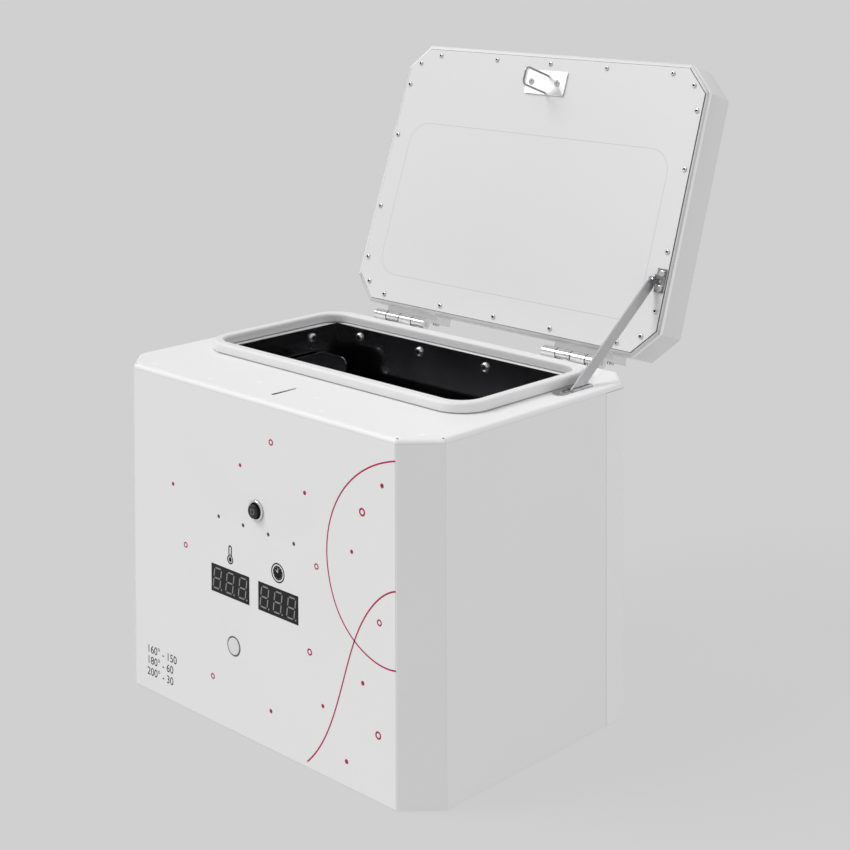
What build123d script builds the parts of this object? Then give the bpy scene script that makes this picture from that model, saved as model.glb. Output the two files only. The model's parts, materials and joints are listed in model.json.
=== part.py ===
"""Bench dry heat sterilizer: octagonal sheet casing, polished chamber, hinged lid with flap stay.

Millimetres. Z is up, the front faces -Y, the right side faces +X, the origin is at the centre of
the base underside. The lid is drawn open, as it stands at rest.
"""

import math
import os

from build123d import *

os.makedirs("parts", exist_ok=True)

# Casing
BODY_W = 450.0
BODY_D = 322.0
TOP_Z = 338.0
PAD_T = 1.0
SHEET = 1.2
CORNER = 31.5
BEND_R = 4.6
SEAM_Y = 101.0
SEAM_GAP = 0.4
COVER_TOP = 333.0
HX = BODY_W / 2
HY = BODY_D / 2
FRONT_Y = -HY
UNDER_TOP = TOP_Z - SHEET

# Chamber, measured inside
CH_X = 177.0
CH_Y0 = -58.0
CH_Y1 = 114.0
CH_FLOOR = 130.0
CH_FLANGE = 14.0
WALL = 20.0
HEATER_T = 3.0

# Gasket
GK_X = 194.0
GK_Y0 = -72.0
GK_Y1 = 128.0
GK_R = 35.0
GK_W = 12.0
GK_H = 10.9

# Lid, measured closed and relative to the hinge axis
AXIS_Y = 169.0
AXIS_Z = 340.2
LID_ANGLE = 109.83
LID_HX = 222.15
LID_D = 314.1
LID_REAR = -12.7
LID_FRONT = LID_REAR - LID_D
LID_CORNER = 28.8
LID_T = 40.0
FLANGE_Z = 10.4
LID_TOP = FLANGE_Z + LID_T
PLATE_INSET = 4.7
PLATE_T = 1.5
PLATE_Z = FLANGE_Z - PLATE_T
FLANGE_W = 16.0

# Hinges
BARREL_R = 6.0
PIN_R = 3.0
PIN_RUN = 0.05
HINGE_X0 = 87.5
HINGE_LEN = 79.0
KNUCKLE_GAP = 0.6
KNUCKLE = (HINGE_LEN - 3 * KNUCKLE_GAP) / 4
LEAF_T = 2.5
LEAF_H = 40.0
LEAF_NOTCH = 7.2
BODY_PACKER = AXIS_Y - BARREL_R - HY
LID_PACKER = -BARREL_R - LID_REAR

# Stay
ARM_X = 204.0
ARM_T = 2.0
ARM_W = 12.0
ARM_LEN = 170.0
ARM_V = 81.0
ARM_DROP = 6.0
ARM_ANGLE = 35.8
RIVET_R = 2.0
RIVET_RUN = 0.05
STOP_R = 4.0
STOP_AT = 162.0
SLOT_X = 4.6
SLOT_Y0 = 60.5
SLOT_Y1 = 95.5
FACE_Y0 = 47.5
FACE_Y1 = 102.5
FACE_T = 1.2
FACE_SCREW_Y = (54.0, 99.2)

# Striker and lock
LOOP_X = 2.0
LOOP_R = 1.2
LOOP_V0 = 268.0
LOOP_V1 = 288.0
LOOP_LEN = 41.0
STRIKE_T = 1.8
TOP_SLOT_X = 3.8
TOP_SLOT_Y0 = -140.2
TOP_SLOT_Y1 = -108.0

STRIKE_V = (LOOP_V0 + LOOP_V1) / 2 + 2
STRIKE_SCREWS = [(-21.0, 280.0), (17.0, 280.0)]
BRACKET_U0 = 205.3
BRACKET_U1 = 216.6
BRACKET_V0 = 69.8
BRACKET_V1 = 94.5
BRACKET_T = 1.5
BRACKET_SCREWS = [(212.0, 73.8), (212.0, 89.2)]

# Front controls
DISP_W = 58.4
DISP_H = 28.2
DISP_Z = 146.5
DISP_X = (-38.2, 33.2)
LED_X = (-55.4, -18.0, 19.2, 56.2)
LED_Z = 209.5
LED_R = 2.0
POWER_X = 2.2
POWER_Z = 229.0
BEZEL_R = 10.3
CAP_R = 6.6
CAP_RUN = 0.35
PROG_X = -33.0
PROG_Z = 85.5
PROG_R = 10.0
BOARD_Y = -139.0
BOARD_T = 1.6


def octagon(hx, y0, y1, cut, inset=0.0):
    """Corner points of an octagonal outline, kept parallel when inset."""
    x = hx - inset
    low = y0 + inset
    high = y1 - inset
    c = cut - inset * (2 - math.sqrt(2))
    return [
        (x - c, low),
        (x, low + c),
        (x, high - c),
        (x - c, high),
        (-x + c, high),
        (-x, high - c),
        (-x, low + c),
        (-x + c, low),
    ]


def level(z):
    """Horizontal sketch plane at height z."""
    return Plane.XY.offset(z)


def facing_front(y):
    """Vertical sketch plane at depth y whose normal points to the front."""
    return Plane(origin=(0, y, 0), x_dir=(1, 0, 0), z_dir=(0, -1, 0))


def facing_back(y):
    """Vertical sketch plane at depth y, local x mirrored, normal to the rear."""
    return Plane(origin=(0, y, 0), x_dir=(-1, 0, 0), z_dir=(0, 1, 0))


def facing_right(x):
    """Vertical sketch plane at x, local axes y and z, normal to the right."""
    return Plane(origin=(x, 0, 0), x_dir=(0, 1, 0), z_dir=(1, 0, 0))


LID_A = math.radians(LID_ANGLE)
LID_X = Vector(1, 0, 0)
LID_Y = Vector(0, math.cos(LID_A), -math.sin(LID_A))
LID_Z = Vector(0, math.sin(LID_A), math.cos(LID_A))
AXIS = Vector(0, AXIS_Y, AXIS_Z)


def on_lid(z=0.0):
    """Sketch plane parallel to the lid plate; local x, y as closed, from the hinge axis."""
    return Plane(origin=AXIS + LID_Z * z, x_dir=LID_X, z_dir=LID_Z)


def under_lid(z):
    """As on_lid, but the normal points out of the lid's inner face; local y mirrored."""
    return Plane(origin=AXIS + LID_Z * z, x_dir=LID_X, z_dir=LID_Z * -1)


def across_lid(x):
    """Sketch plane across the lid at x; local x and y are the closed lid's y and z, from the axis."""
    return Plane(origin=AXIS + LID_X * x, x_dir=LID_Y, z_dir=LID_X)


def behind_lid(y):
    """Sketch plane parallel to the lid's rear wall; local x as x, local y down; normal outward."""
    return Plane(origin=AXIS + LID_Y * y, x_dir=LID_X, z_dir=LID_Y)


def save(part, name):
    """Write one node."""
    part.label = name
    export_step(part, "parts/" + name + ".step")


# Casing

with BuildPart() as main_shell:
    with BuildSketch(level(PAD_T)):
        with BuildLine():
            Polyline(*octagon(HX, -HY, HY, CORNER), close=True)
        make_face()
        fillet(vertices(), 3.5)
    extrude(amount=TOP_Z - PAD_T)
    fillet(faces().sort_by(Axis.Z)[-1].edges(), BEND_R)
    offset(amount=-SHEET, openings=faces().sort_by(Axis.Z)[0])
    # everything behind the seam and under the rear lip belongs to the rear cover
    with BuildSketch(level(0)):
        with Locations((0, SEAM_Y + 100)):
            Rectangle(BODY_W + 20, 200)
    extrude(amount=COVER_TOP + SEAM_GAP, mode=Mode.SUBTRACT)
    # chamber opening
    with BuildSketch(level(UNDER_TOP - 1)):
        with Locations((0, (CH_Y0 + CH_Y1) / 2)):
            Rectangle(2 * CH_X, CH_Y1 - CH_Y0)
    extrude(amount=SHEET + 3, mode=Mode.SUBTRACT)
    # stay slot, striker slot
    with BuildSketch(level(UNDER_TOP - 1)):
        with Locations((ARM_X, (SLOT_Y0 + SLOT_Y1) / 2)):
            Rectangle(SLOT_X, SLOT_Y1 - SLOT_Y0)
        with Locations((LOOP_X, (TOP_SLOT_Y0 + TOP_SLOT_Y1) / 2)):
            Rectangle(TOP_SLOT_X, TOP_SLOT_Y1 - TOP_SLOT_Y0)
        with Locations(*[(ARM_X, y) for y in FACE_SCREW_Y]):
            Circle(1.6)
    extrude(amount=SHEET + 3, mode=Mode.SUBTRACT)
    # relief holes where the folds meet
    with BuildSketch(level(UNDER_TOP - 3)):
        with Locations(
            (HX - CORNER - 1.0, -HY + 3.4),
            (HX - 3.4, -HY + CORNER + 1.0),
            (-HX + CORNER + 1.0, -HY + 3.4),
            (-HX + 3.4, -HY + CORNER + 1.0),
        ):
            Circle(1.1)
    extrude(amount=10, mode=Mode.SUBTRACT)
    # front panel cut-outs
    with BuildSketch(facing_front(FRONT_Y + 6)):
        with Locations(*[(x, DISP_Z) for x in DISP_X]):
            Rectangle(DISP_W, DISP_H)
        with Locations(*[(x, LED_Z) for x in LED_X]):
            Circle(LED_R)
        with Locations((POWER_X, POWER_Z)):
            Circle(8.0)
        with Locations((PROG_X, PROG_Z)):
            Circle(PROG_R)
    extrude(amount=10, mode=Mode.SUBTRACT)
save(main_shell.part, "main_shell")

REAR_SCREWS = [(-150.0, 14.0), (150.0, 14.0), (-50.0, 322.0), (50.0, 322.0)]
HINGE_XS = [s * (HINGE_X0 + HINGE_LEN / 2) for s in (-1, 1)]
BODY_LEAF_HOLES = [(x + k, 322.0) for x in HINGE_XS for k in (-27, 0, 27)]
INLET_X = -130.0
INLET_Z = 58.0

with BuildPart() as rear_cover:
    with BuildSketch(level(PAD_T)):
        with BuildLine():
            Polyline(*octagon(HX, -HY, HY, CORNER), close=True)
        make_face()
        fillet(vertices(), 3.5)
    extrude(amount=COVER_TOP - PAD_T)
    with BuildSketch(level(0)):
        with BuildLine():
            Polyline(*octagon(HX, -HY, HY, CORNER, SHEET), close=True)
        make_face()
        fillet(vertices(), 2.3)
    extrude(amount=COVER_TOP + 1, mode=Mode.SUBTRACT)
    with BuildSketch(level(0)):
        with Locations((0, SEAM_Y + SEAM_GAP - 200)):
            Rectangle(BODY_W + 20, 400)
    extrude(amount=COVER_TOP + 1, mode=Mode.SUBTRACT)
    with BuildSketch(facing_back(HY - 3)):
        with Locations((-INLET_X, INLET_Z)):
            Rectangle(27.4, 20.4)
        with Locations((-INLET_X - 20, INLET_Z), (-INLET_X + 20, INLET_Z)):
            Circle(1.6)
        with Locations(*[(-x, z) for x, z in REAR_SCREWS]):
            Circle(1.6)
        with Locations(*[(-x, z) for x, z in BODY_LEAF_HOLES]):
            Circle(2.05)
        # vent slits
        with Locations(
            *[(-40 - 62 * col, 52 + 9 * row) for col in range(2) for row in range(5)]
        ):
            SlotOverall(48, 3)
    extrude(amount=10, mode=Mode.SUBTRACT)
save(rear_cover.part, "rear_cover")

with BuildPart() as rear_cover_screws:
    with BuildSketch(facing_back(HY)):
        with Locations(*[(-x, z) for x, z in REAR_SCREWS]):
            Circle(3.0)
    extrude(amount=1.8)
    with BuildSketch(facing_back(HY)):
        with Locations(*[(-x, z) for x, z in REAR_SCREWS]):
            Circle(1.5)
    extrude(amount=-5)
    with BuildSketch(facing_back(HY + 1.0)):
        with Locations(*[(-x, z) for x, z in REAR_SCREWS]):
            RegularPolygon(1.1, 6)
    extrude(amount=2, mode=Mode.SUBTRACT)
save(rear_cover_screws.part, "rear_cover_screws")

# flanges of the base and of the shell's rear lip that the rear screws bite into
with BuildPart() as base_plate:
    with BuildSketch(level(PAD_T)):
        with BuildLine():
            Polyline(*octagon(HX, -HY, HY, CORNER, SHEET), close=True)
        make_face()
        fillet(vertices(), 2.3)
    extrude(amount=22)
    with BuildSketch(level(PAD_T + SHEET)):
        with BuildLine():
            Polyline(*octagon(HX, -HY, HY, CORNER, 2 * SHEET), close=True)
        make_face()
        fillet(vertices(), 1.1)
    extrude(amount=30, mode=Mode.SUBTRACT)
    with BuildSketch(facing_back(HY - 4)):
        with Locations(*[(-x, z) for x, z in REAR_SCREWS if z < 50]):
            Circle(1.6)
    extrude(amount=8, mode=Mode.SUBTRACT)
    # air slits
    with BuildSketch(level(0)):
        with Locations(
            *[(-60 + 60 * col, -40 + 16 * row) for col in range(3) for row in range(6)]
        ):
            SlotOverall(44, 3)
    extrude(amount=6, mode=Mode.SUBTRACT)
save(base_plate.part, "base_plate")

with BuildPart() as rear_rail:
    inner = HY - SHEET
    with BuildSketch(facing_right(-170)):
        with BuildLine():
            Polyline(
                (inner, 312),
                (inner, COVER_TOP),
                (inner - 3.4, UNDER_TOP),
                (inner - 20, UNDER_TOP),
                (inner - 20, UNDER_TOP - 1.6),
                (inner - 4.2, UNDER_TOP - 1.6),
                (inner - 1.6, COVER_TOP - 0.7),
                (inner - 1.6, 312),
                close=True,
            )
        make_face()
    extrude(amount=340)
    with BuildSketch(facing_back(HY - 6)):
        with Locations(*[(-x, z) for x, z in REAR_SCREWS if z > 50]):
            Circle(1.6)
        with Locations(*[(-x, z) for x, z in BODY_LEAF_HOLES]):
            Circle(2.05)
    extrude(amount=8, mode=Mode.SUBTRACT)
save(rear_rail.part, "rear_rail")

with BuildPart() as foot_pads:
    with BuildSketch(level(0)):
        with Locations((-170, -118), (170, -118), (-170, 118), (170, 118)):
            Circle(13)
    extrude(amount=PAD_T)
save(foot_pads.part, "foot_pads")

# Chamber, heaters, insulation

with BuildPart() as chamber:
    with BuildSketch(level(CH_FLOOR - SHEET)):
        with Locations((0, (CH_Y0 + CH_Y1) / 2)):
            Rectangle(2 * (CH_X + SHEET), CH_Y1 - CH_Y0 + 2 * SHEET)
    extrude(amount=UNDER_TOP - CH_FLOOR + SHEET)
    with BuildSketch(level(UNDER_TOP - SHEET)):
        with Locations((0, (CH_Y0 + CH_Y1) / 2)):
            Rectangle(2 * (CH_X + CH_FLANGE), CH_Y1 - CH_Y0 + 2 * CH_FLANGE)
    extrude(amount=SHEET)
    with BuildSketch(level(CH_FLOOR)):
        with Locations((0, (CH_Y0 + CH_Y1) / 2)):
            Rectangle(2 * CH_X, CH_Y1 - CH_Y0)
    extrude(amount=UNDER_TOP, mode=Mode.SUBTRACT)
    CH_REAR_X = (-138.8, -44.6, 52.7, 148.5)
    CH_SIDE_Y = (75.7, -18.0)
    CH_SCREW_Z = 326.3
    with BuildSketch(facing_front(CH_Y1 + 3)):
        with Locations(*[(x, CH_SCREW_Z) for x in CH_REAR_X]):
            Circle(2.5)
    extrude(amount=CH_Y1 - CH_Y0 + 6, mode=Mode.SUBTRACT)
    with BuildSketch(facing_right(-CH_X - 3)):
        with Locations(*[(y, CH_SCREW_Z) for y in CH_SIDE_Y]):
            Circle(2.5)
    extrude(amount=2 * CH_X + 6, mode=Mode.SUBTRACT)
save(chamber.part, "chamber")

with BuildPart() as chamber_screws:
    for y, out in ((CH_Y1, 1), (CH_Y0, -1)):
        with BuildSketch(facing_back(y)):
            with Locations(*[(-x, CH_SCREW_Z) for x in CH_REAR_X]):
                Circle(5.2)
        extrude(amount=-out * 3.2)
        with BuildSketch(facing_back(y)):
            with Locations(*[(-x, CH_SCREW_Z) for x in CH_REAR_X]):
                Circle(2.45)
        extrude(amount=out * 7)
    for x, out in ((CH_X, 1), (-CH_X, -1)):
        with BuildSketch(facing_right(x)):
            with Locations(*[(y, CH_SCREW_Z) for y in CH_SIDE_Y]):
                Circle(5.2)
        extrude(amount=-out * 3.2)
        with BuildSketch(facing_right(x)):
            with Locations(*[(y, CH_SCREW_Z) for y in CH_SIDE_Y]):
                Circle(2.45)
        extrude(amount=out * 7)
    heads = faces().filter_by(GeomType.PLANE).filter_by(lambda f: 80 < f.area < 90)
    fillet([e for f in heads for e in f.edges()], 1.8)
save(chamber_screws.part, "chamber_screws")

with BuildPart() as heater_panels:
    for s in (-1, 1):
        with BuildSketch(facing_right(s * (CH_X + SHEET))):
            with Locations(((CH_Y0 + CH_Y1) / 2, 220)):
                Rectangle(140, 150)
        extrude(amount=s * HEATER_T)
    with BuildSketch(level(CH_FLOOR - SHEET)):
        with Locations((0, (CH_Y0 + CH_Y1) / 2)):
            Rectangle(300, 140)
    extrude(amount=-HEATER_T)
save(heater_panels.part, "heater_panels")

INS_Z0 = CH_FLOOR - SHEET - WALL
with BuildPart() as chamber_insulation:
    with BuildSketch(level(INS_Z0)):
        with Locations((0, (CH_Y0 + CH_Y1) / 2)):
            Rectangle(2 * (CH_X + SHEET + WALL), CH_Y1 - CH_Y0 + 2 * SHEET + 2 * WALL)
    extrude(amount=UNDER_TOP - SHEET - INS_Z0)
    with BuildSketch(level(CH_FLOOR - SHEET)):
        with Locations((0, (CH_Y0 + CH_Y1) / 2)):
            Rectangle(2 * (CH_X + SHEET), CH_Y1 - CH_Y0 + 2 * SHEET)
    extrude(amount=300, mode=Mode.SUBTRACT)
    with BuildSketch(level(CH_FLOOR - SHEET)):
        with Locations((0, (CH_Y0 + CH_Y1) / 2)):
            Rectangle(300, 140)
    extrude(amount=-HEATER_T, mode=Mode.SUBTRACT)
    with BuildSketch(facing_right(-CH_X - SHEET - HEATER_T)):
        with Locations(((CH_Y0 + CH_Y1) / 2, 220)):
            Rectangle(140, 150)
    extrude(amount=2 * (CH_X + SHEET + HEATER_T), mode=Mode.SUBTRACT)
    # pockets round the chamber screws and the sensors
    with BuildSketch(level(UNDER_TOP - SHEET)):
        with Locations(*[(x, y) for x in CH_REAR_X for y in (CH_Y1 + 4.5, CH_Y0 - 4.5)]):
            Rectangle(8, 7)
        with Locations(*[(s * (CH_X + 4.5), y) for s in (-1, 1) for y in CH_SIDE_Y]):
            Rectangle(7, 8)
    extrude(amount=-16, mode=Mode.SUBTRACT)
    with BuildSketch(facing_back(CH_Y1 + SHEET)):
        with Locations((-90, 240)):
            Rectangle(16, 16)
        with Locations((-20, 240)):
            Rectangle(30, 30)
    extrude(amount=WALL, mode=Mode.SUBTRACT)
save(chamber_insulation.part, "chamber_insulation")

with BuildPart() as temperature_sensor:
    with BuildSketch(facing_back(CH_Y1 + SHEET)):
        with Locations((-90, 240)):
            RegularPolygon(6, 6)
    extrude(amount=5)
    with BuildSketch(facing_back(CH_Y1 + SHEET + 5)):
        with Locations((-90, 240)):
            Circle(3)
    extrude(amount=20)
save(temperature_sensor.part, "temperature_sensor")

with BuildPart() as overheat_cutout:
    with BuildSketch(facing_back(CH_Y1 + SHEET)):
        with Locations((-20, 240)):
            Circle(8)
    extrude(amount=7)
    with BuildSketch(facing_back(CH_Y1 + SHEET)):
        with Locations((-20, 240)):
            Rectangle(26, 7)
    extrude(amount=1)
    with BuildSketch(facing_back(CH_Y1 + SHEET + 7)):
        with Locations((-24, 240), (-16, 240)):
            Rectangle(0.8, 6.3)
    extrude(amount=8)
save(overheat_cutout.part, "overheat_cutout")

with BuildPart() as chamber_supports:
    for s in (-1, 1):
        with BuildSketch(Plane(origin=(s * 140, -70, 0), x_dir=(1, 0, 0), z_dir=(0, -1, 0))):
            with Locations((0, (INS_Z0 + PAD_T + SHEET) / 2)):
                Rectangle(36, INS_Z0 - PAD_T - SHEET)
            with Locations((0, (INS_Z0 + PAD_T + SHEET) / 2)):
                Rectangle(33.6, INS_Z0 - PAD_T - SHEET - 2.4, mode=Mode.SUBTRACT)
            with Locations((0, PAD_T + SHEET + 0.6)):
                Rectangle(16, 4, mode=Mode.SUBTRACT)
        extrude(amount=-196)
save(chamber_supports.part, "chamber_supports")

with BuildPart() as chamber_gasket:
    with BuildSketch(level(TOP_Z)):
        with Locations((0, (GK_Y0 + GK_Y1) / 2)):
            RectangleRounded(2 * GK_X - 3, GK_Y1 - GK_Y0 - 3, GK_R - 1.5)
            RectangleRounded(
                2 * (GK_X - GK_W) + 3, GK_Y1 - GK_Y0 - 2 * GK_W + 3, GK_R - GK_W + 1.5, mode=Mode.SUBTRACT
            )
    extrude(amount=1.6)
    with BuildSketch(level(TOP_Z + 1.4)):
        with Locations((0, (GK_Y0 + GK_Y1) / 2)):
            RectangleRounded(2 * GK_X, GK_Y1 - GK_Y0, GK_R)
            RectangleRounded(
                2 * (GK_X - GK_W), GK_Y1 - GK_Y0 - 2 * GK_W, GK_R - GK_W, mode=Mode.SUBTRACT
            )
    extrude(amount=GK_H - 1.4)
    fillet(faces().sort_by(Axis.Z)[-1].edges(), 3.2)
save(chamber_gasket.part, "chamber_gasket")

# Lid

with BuildPart() as lid_shell:
    with BuildSketch(on_lid(FLANGE_Z)):
        with BuildLine():
            Polyline(*octagon(LID_HX, LID_FRONT, LID_REAR, LID_CORNER), close=True)
        make_face()
        fillet(vertices(), 3.0)
    extrude(amount=LID_T)
    fillet(faces().sort_by(Axis(AXIS, LID_Z))[-1].edges(), 3.6)
    offset(amount=-SHEET, openings=faces().sort_by(Axis(AXIS, LID_Z))[0])
    with BuildSketch(on_lid(FLANGE_Z)):
        with BuildLine():
            Polyline(*octagon(LID_HX, LID_FRONT, LID_REAR, LID_CORNER), close=True)
        make_face()
        fillet(vertices(), 3.0)
        with BuildLine():
            Polyline(*octagon(LID_HX, LID_FRONT, LID_REAR, LID_CORNER, FLANGE_W), close=True)
        make_face(mode=Mode.SUBTRACT)
    extrude(amount=SHEET)
    PLATE_SCREWS = [(u, v) for v in (11.2, 302.3) for u in (-171.8, -81.4, 0.0, 81.4, 171.8)]
    PLATE_SCREWS += [(s * 212.0, v) for s in (-1, 1) for v in (50.5, 112.5, 200.5, 264.0)]
    PLATE_SCREWS += [(s * 202.0, 291.0) for s in (-1, 1)] + [(s * 200.5, 22.5) for s in (-1, 1)]
    with BuildSketch(on_lid(FLANGE_Z - 1)):
        with Locations(*[(u, LID_REAR - v) for u, v in PLATE_SCREWS]):
            Circle(1.55)
        with Locations(*[(u, LID_REAR - v) for u, v in BRACKET_SCREWS]):
            Circle(2.05)
    extrude(amount=4, mode=Mode.SUBTRACT)
    with BuildSketch(behind_lid(LID_REAR - 4)):
        with Locations(*[(x + k, -30) for x in HINGE_XS for k in (-27, 0, 27)]):
            Circle(2.05)
    extrude(amount=8, mode=Mode.SUBTRACT)
save(lid_shell.part, "lid_shell")


with BuildPart() as lid_plate:
    with BuildSketch(on_lid(PLATE_Z)):
        with BuildLine():
            Polyline(*octagon(LID_HX, LID_FRONT, LID_REAR, LID_CORNER, PLATE_INSET), close=True)
        make_face()
        with Locations(*[(u, LID_REAR - v) for u, v in PLATE_SCREWS]):
            Circle(1.55, mode=Mode.SUBTRACT)
        with Locations(*[(u, LID_REAR - v) for u, v in STRIKE_SCREWS]):
            Circle(2.05, mode=Mode.SUBTRACT)
        with Locations(*[(u, LID_REAR - v) for u, v in BRACKET_SCREWS]):
            Circle(2.05, mode=Mode.SUBTRACT)
    extrude(amount=PLATE_T)
save(lid_plate.part, "lid_plate")

with BuildPart() as lid_plate_screws:
    with BuildSketch(under_lid(PLATE_Z)):
        with Locations(*[(u, -LID_REAR + v) for u, v in PLATE_SCREWS]):
            Circle(2.75)
    extrude(amount=1.6)
    heads = faces().filter_by(lambda f: f.geom_type == GeomType.PLANE and f.normal_at().dot(LID_Z) < -0.9)
    fillet(heads.edges(), 0.7)
    with BuildSketch(under_lid(PLATE_Z)):
        with Locations(*[(u, -LID_REAR + v) for u, v in PLATE_SCREWS]):
            Circle(1.5)
    extrude(amount=-5)
    with BuildSketch(under_lid(PLATE_Z + 0.7)):
        with Locations(*[(u, -LID_REAR + v) for u, v in PLATE_SCREWS]):
            RegularPolygon(1.15, 6)
    extrude(amount=3, mode=Mode.SUBTRACT)
save(lid_plate_screws.part, "lid_plate_screws")

with BuildPart() as lid_insulation:
    with BuildSketch(on_lid(FLANGE_Z)):
        with BuildLine():
            Polyline(*octagon(LID_HX, LID_FRONT, LID_REAR, LID_CORNER, FLANGE_W + 3), close=True)
        make_face()
        with Locations(*[(u, LID_REAR - v) for u, v in STRIKE_SCREWS]):
            Circle(4, mode=Mode.SUBTRACT)
        with Locations((206, LID_REAR - 81.5)):
            Rectangle(26, 40, mode=Mode.SUBTRACT)
    extrude(amount=LID_T - SHEET)
    with BuildSketch(on_lid(LID_TOP - SHEET)):
        with Locations(*[(x, LID_REAR - 12) for x in HINGE_XS]):
            Rectangle(90, 24)
    extrude(amount=-30, mode=Mode.SUBTRACT)
save(lid_insulation.part, "lid_insulation")

# Hinges


def knuckle_x(hinge, index):
    """Left end of one knuckle of the hinge centred on hinge."""
    return hinge - HINGE_LEN / 2 + index * (KNUCKLE + KNUCKLE_GAP)


with BuildPart() as hinge_body_leaves:
    for hinge in HINGE_XS:
        with BuildSketch(facing_back(HY + BODY_PACKER)):
            with Locations((-hinge, AXIS_Z - LEAF_H / 2)):
                Rectangle(HINGE_LEN, LEAF_H)
            for index in (1, 3):
                with Locations((-(knuckle_x(hinge, index) + KNUCKLE / 2), AXIS_Z - LEAF_NOTCH / 2)):
                    Rectangle(KNUCKLE + 2 * KNUCKLE_GAP + 0.1, LEAF_NOTCH, mode=Mode.SUBTRACT)
            with Locations(*[(-(hinge + k), 322) for k in (-27, 0, 27)]):
                Circle(2.05, mode=Mode.SUBTRACT)
        extrude(amount=LEAF_T)
        for index in (0, 2):
            with BuildSketch(
                Plane(origin=(knuckle_x(hinge, index), AXIS_Y, AXIS_Z), x_dir=(0, 1, 0), z_dir=(1, 0, 0))
            ):
                Circle(BARREL_R)
                with Locations((-BARREL_R + LEAF_T / 2, -3)):
                    Rectangle(LEAF_T, 6)
            extrude(amount=KNUCKLE)
            with BuildSketch(
                Plane(origin=(knuckle_x(hinge, index) - 1, AXIS_Y, AXIS_Z), x_dir=(0, 1, 0), z_dir=(1, 0, 0))
            ):
                Circle(PIN_R)
            extrude(amount=KNUCKLE + 2, mode=Mode.SUBTRACT)
save(hinge_body_leaves.part, "hinge_body_leaves")

with BuildPart() as hinge_lid_leaves:
    for hinge in HINGE_XS:
        with BuildSketch(behind_lid(LID_REAR + LID_PACKER)):
            with Locations((hinge, -LEAF_H / 2)):
                Rectangle(HINGE_LEN, LEAF_H)
            for index in (0, 2):
                with Locations((knuckle_x(hinge, index) + KNUCKLE / 2, -LEAF_NOTCH / 2)):
                    Rectangle(KNUCKLE + 2 * KNUCKLE_GAP + 0.1, LEAF_NOTCH, mode=Mode.SUBTRACT)
            with Locations(*[(hinge + k, -30) for k in (-27, 0, 27)]):
                Circle(2.05, mode=Mode.SUBTRACT)
        extrude(amount=LEAF_T)
        for index in (1, 3):
            with BuildSketch(across_lid(knuckle_x(hinge, index))):
                Circle(BARREL_R)
                with Locations((-BARREL_R + LEAF_T / 2, 3)):
                    Rectangle(LEAF_T, 6)
            extrude(amount=KNUCKLE)
            with BuildSketch(across_lid(knuckle_x(hinge, index) - 1)):
                Circle(PIN_R + PIN_RUN)
            extrude(amount=KNUCKLE + 2, mode=Mode.SUBTRACT)
save(hinge_lid_leaves.part, "hinge_lid_leaves")

with BuildPart() as hinge_pins:
    for hinge in HINGE_XS:
        with BuildSketch(
            Plane(origin=(hinge - HINGE_LEN / 2, AXIS_Y, AXIS_Z), x_dir=(0, 1, 0), z_dir=(1, 0, 0))
        ):
            Circle(PIN_R)
        extrude(amount=HINGE_LEN)
        with BuildSketch(
            Plane(origin=(hinge + HINGE_LEN / 2 - 0.6, AXIS_Y, AXIS_Z), x_dir=(0, 1, 0), z_dir=(1, 0, 0))
        ):
            Circle(2.0)
        extrude(amount=2, mode=Mode.SUBTRACT)
save(hinge_pins.part, "hinge_pins")

with BuildPart() as hinge_body_packers:
    with BuildSketch(facing_back(HY)):
        with Locations(*[(-x, 317) for x in HINGE_XS]):
            Rectangle(HINGE_LEN, 30)
        with Locations(*[(-(x + k), 322) for x in HINGE_XS for k in (-27, 0, 27)]):
            Circle(2.05, mode=Mode.SUBTRACT)
    extrude(amount=BODY_PACKER)
save(hinge_body_packers.part, "hinge_body_packers")

with BuildPart() as hinge_lid_packers:
    with BuildSketch(behind_lid(LID_REAR)):
        with Locations(*[(x, -27) for x in HINGE_XS]):
            Rectangle(HINGE_LEN, 24)
        with Locations(*[(x + k, -30) for x in HINGE_XS for k in (-27, 0, 27)]):
            Circle(2.05, mode=Mode.SUBTRACT)
    extrude(amount=LID_PACKER)
save(hinge_lid_packers.part, "hinge_lid_packers")

with BuildPart() as hinge_body_screws:
    with BuildSketch(facing_back(HY + BODY_PACKER + LEAF_T)):
        with Locations(*[(-(x + k), 322) for x in HINGE_XS for k in (-27, 0, 27)]):
            Circle(3.8)
    extrude(amount=2.2)
    with BuildSketch(facing_back(HY + BODY_PACKER + LEAF_T)):
        with Locations(*[(-(x + k), 322) for x in HINGE_XS for k in (-27, 0, 27)]):
            Circle(2.0)
    extrude(amount=-12)
    with BuildSketch(facing_back(HY + BODY_PACKER + LEAF_T + 0.9)):
        with Locations(*[(-(x + k), 322) for x in HINGE_XS for k in (-27, 0, 27)]):
            RegularPolygon(1.5, 6)
    extrude(amount=3, mode=Mode.SUBTRACT)
save(hinge_body_screws.part, "hinge_body_screws")

with BuildPart() as hinge_lid_screws:
    with BuildSketch(behind_lid(LID_REAR + LID_PACKER + LEAF_T)):
        with Locations(*[(x + k, -30) for x in HINGE_XS for k in (-27, 0, 27)]):
            Circle(3.8)
    extrude(amount=2.2)
    with BuildSketch(behind_lid(LID_REAR + LID_PACKER + LEAF_T)):
        with Locations(*[(x + k, -30) for x in HINGE_XS for k in (-27, 0, 27)]):
            Circle(2.0)
    extrude(amount=-14)
    with BuildSketch(behind_lid(LID_REAR + LID_PACKER + LEAF_T + 0.9)):
        with Locations(*[(x + k, -30) for x in HINGE_XS for k in (-27, 0, 27)]):
            RegularPolygon(1.5, 6)
    extrude(amount=3, mode=Mode.SUBTRACT)
save(hinge_lid_screws.part, "hinge_lid_screws")

# Stay

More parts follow.
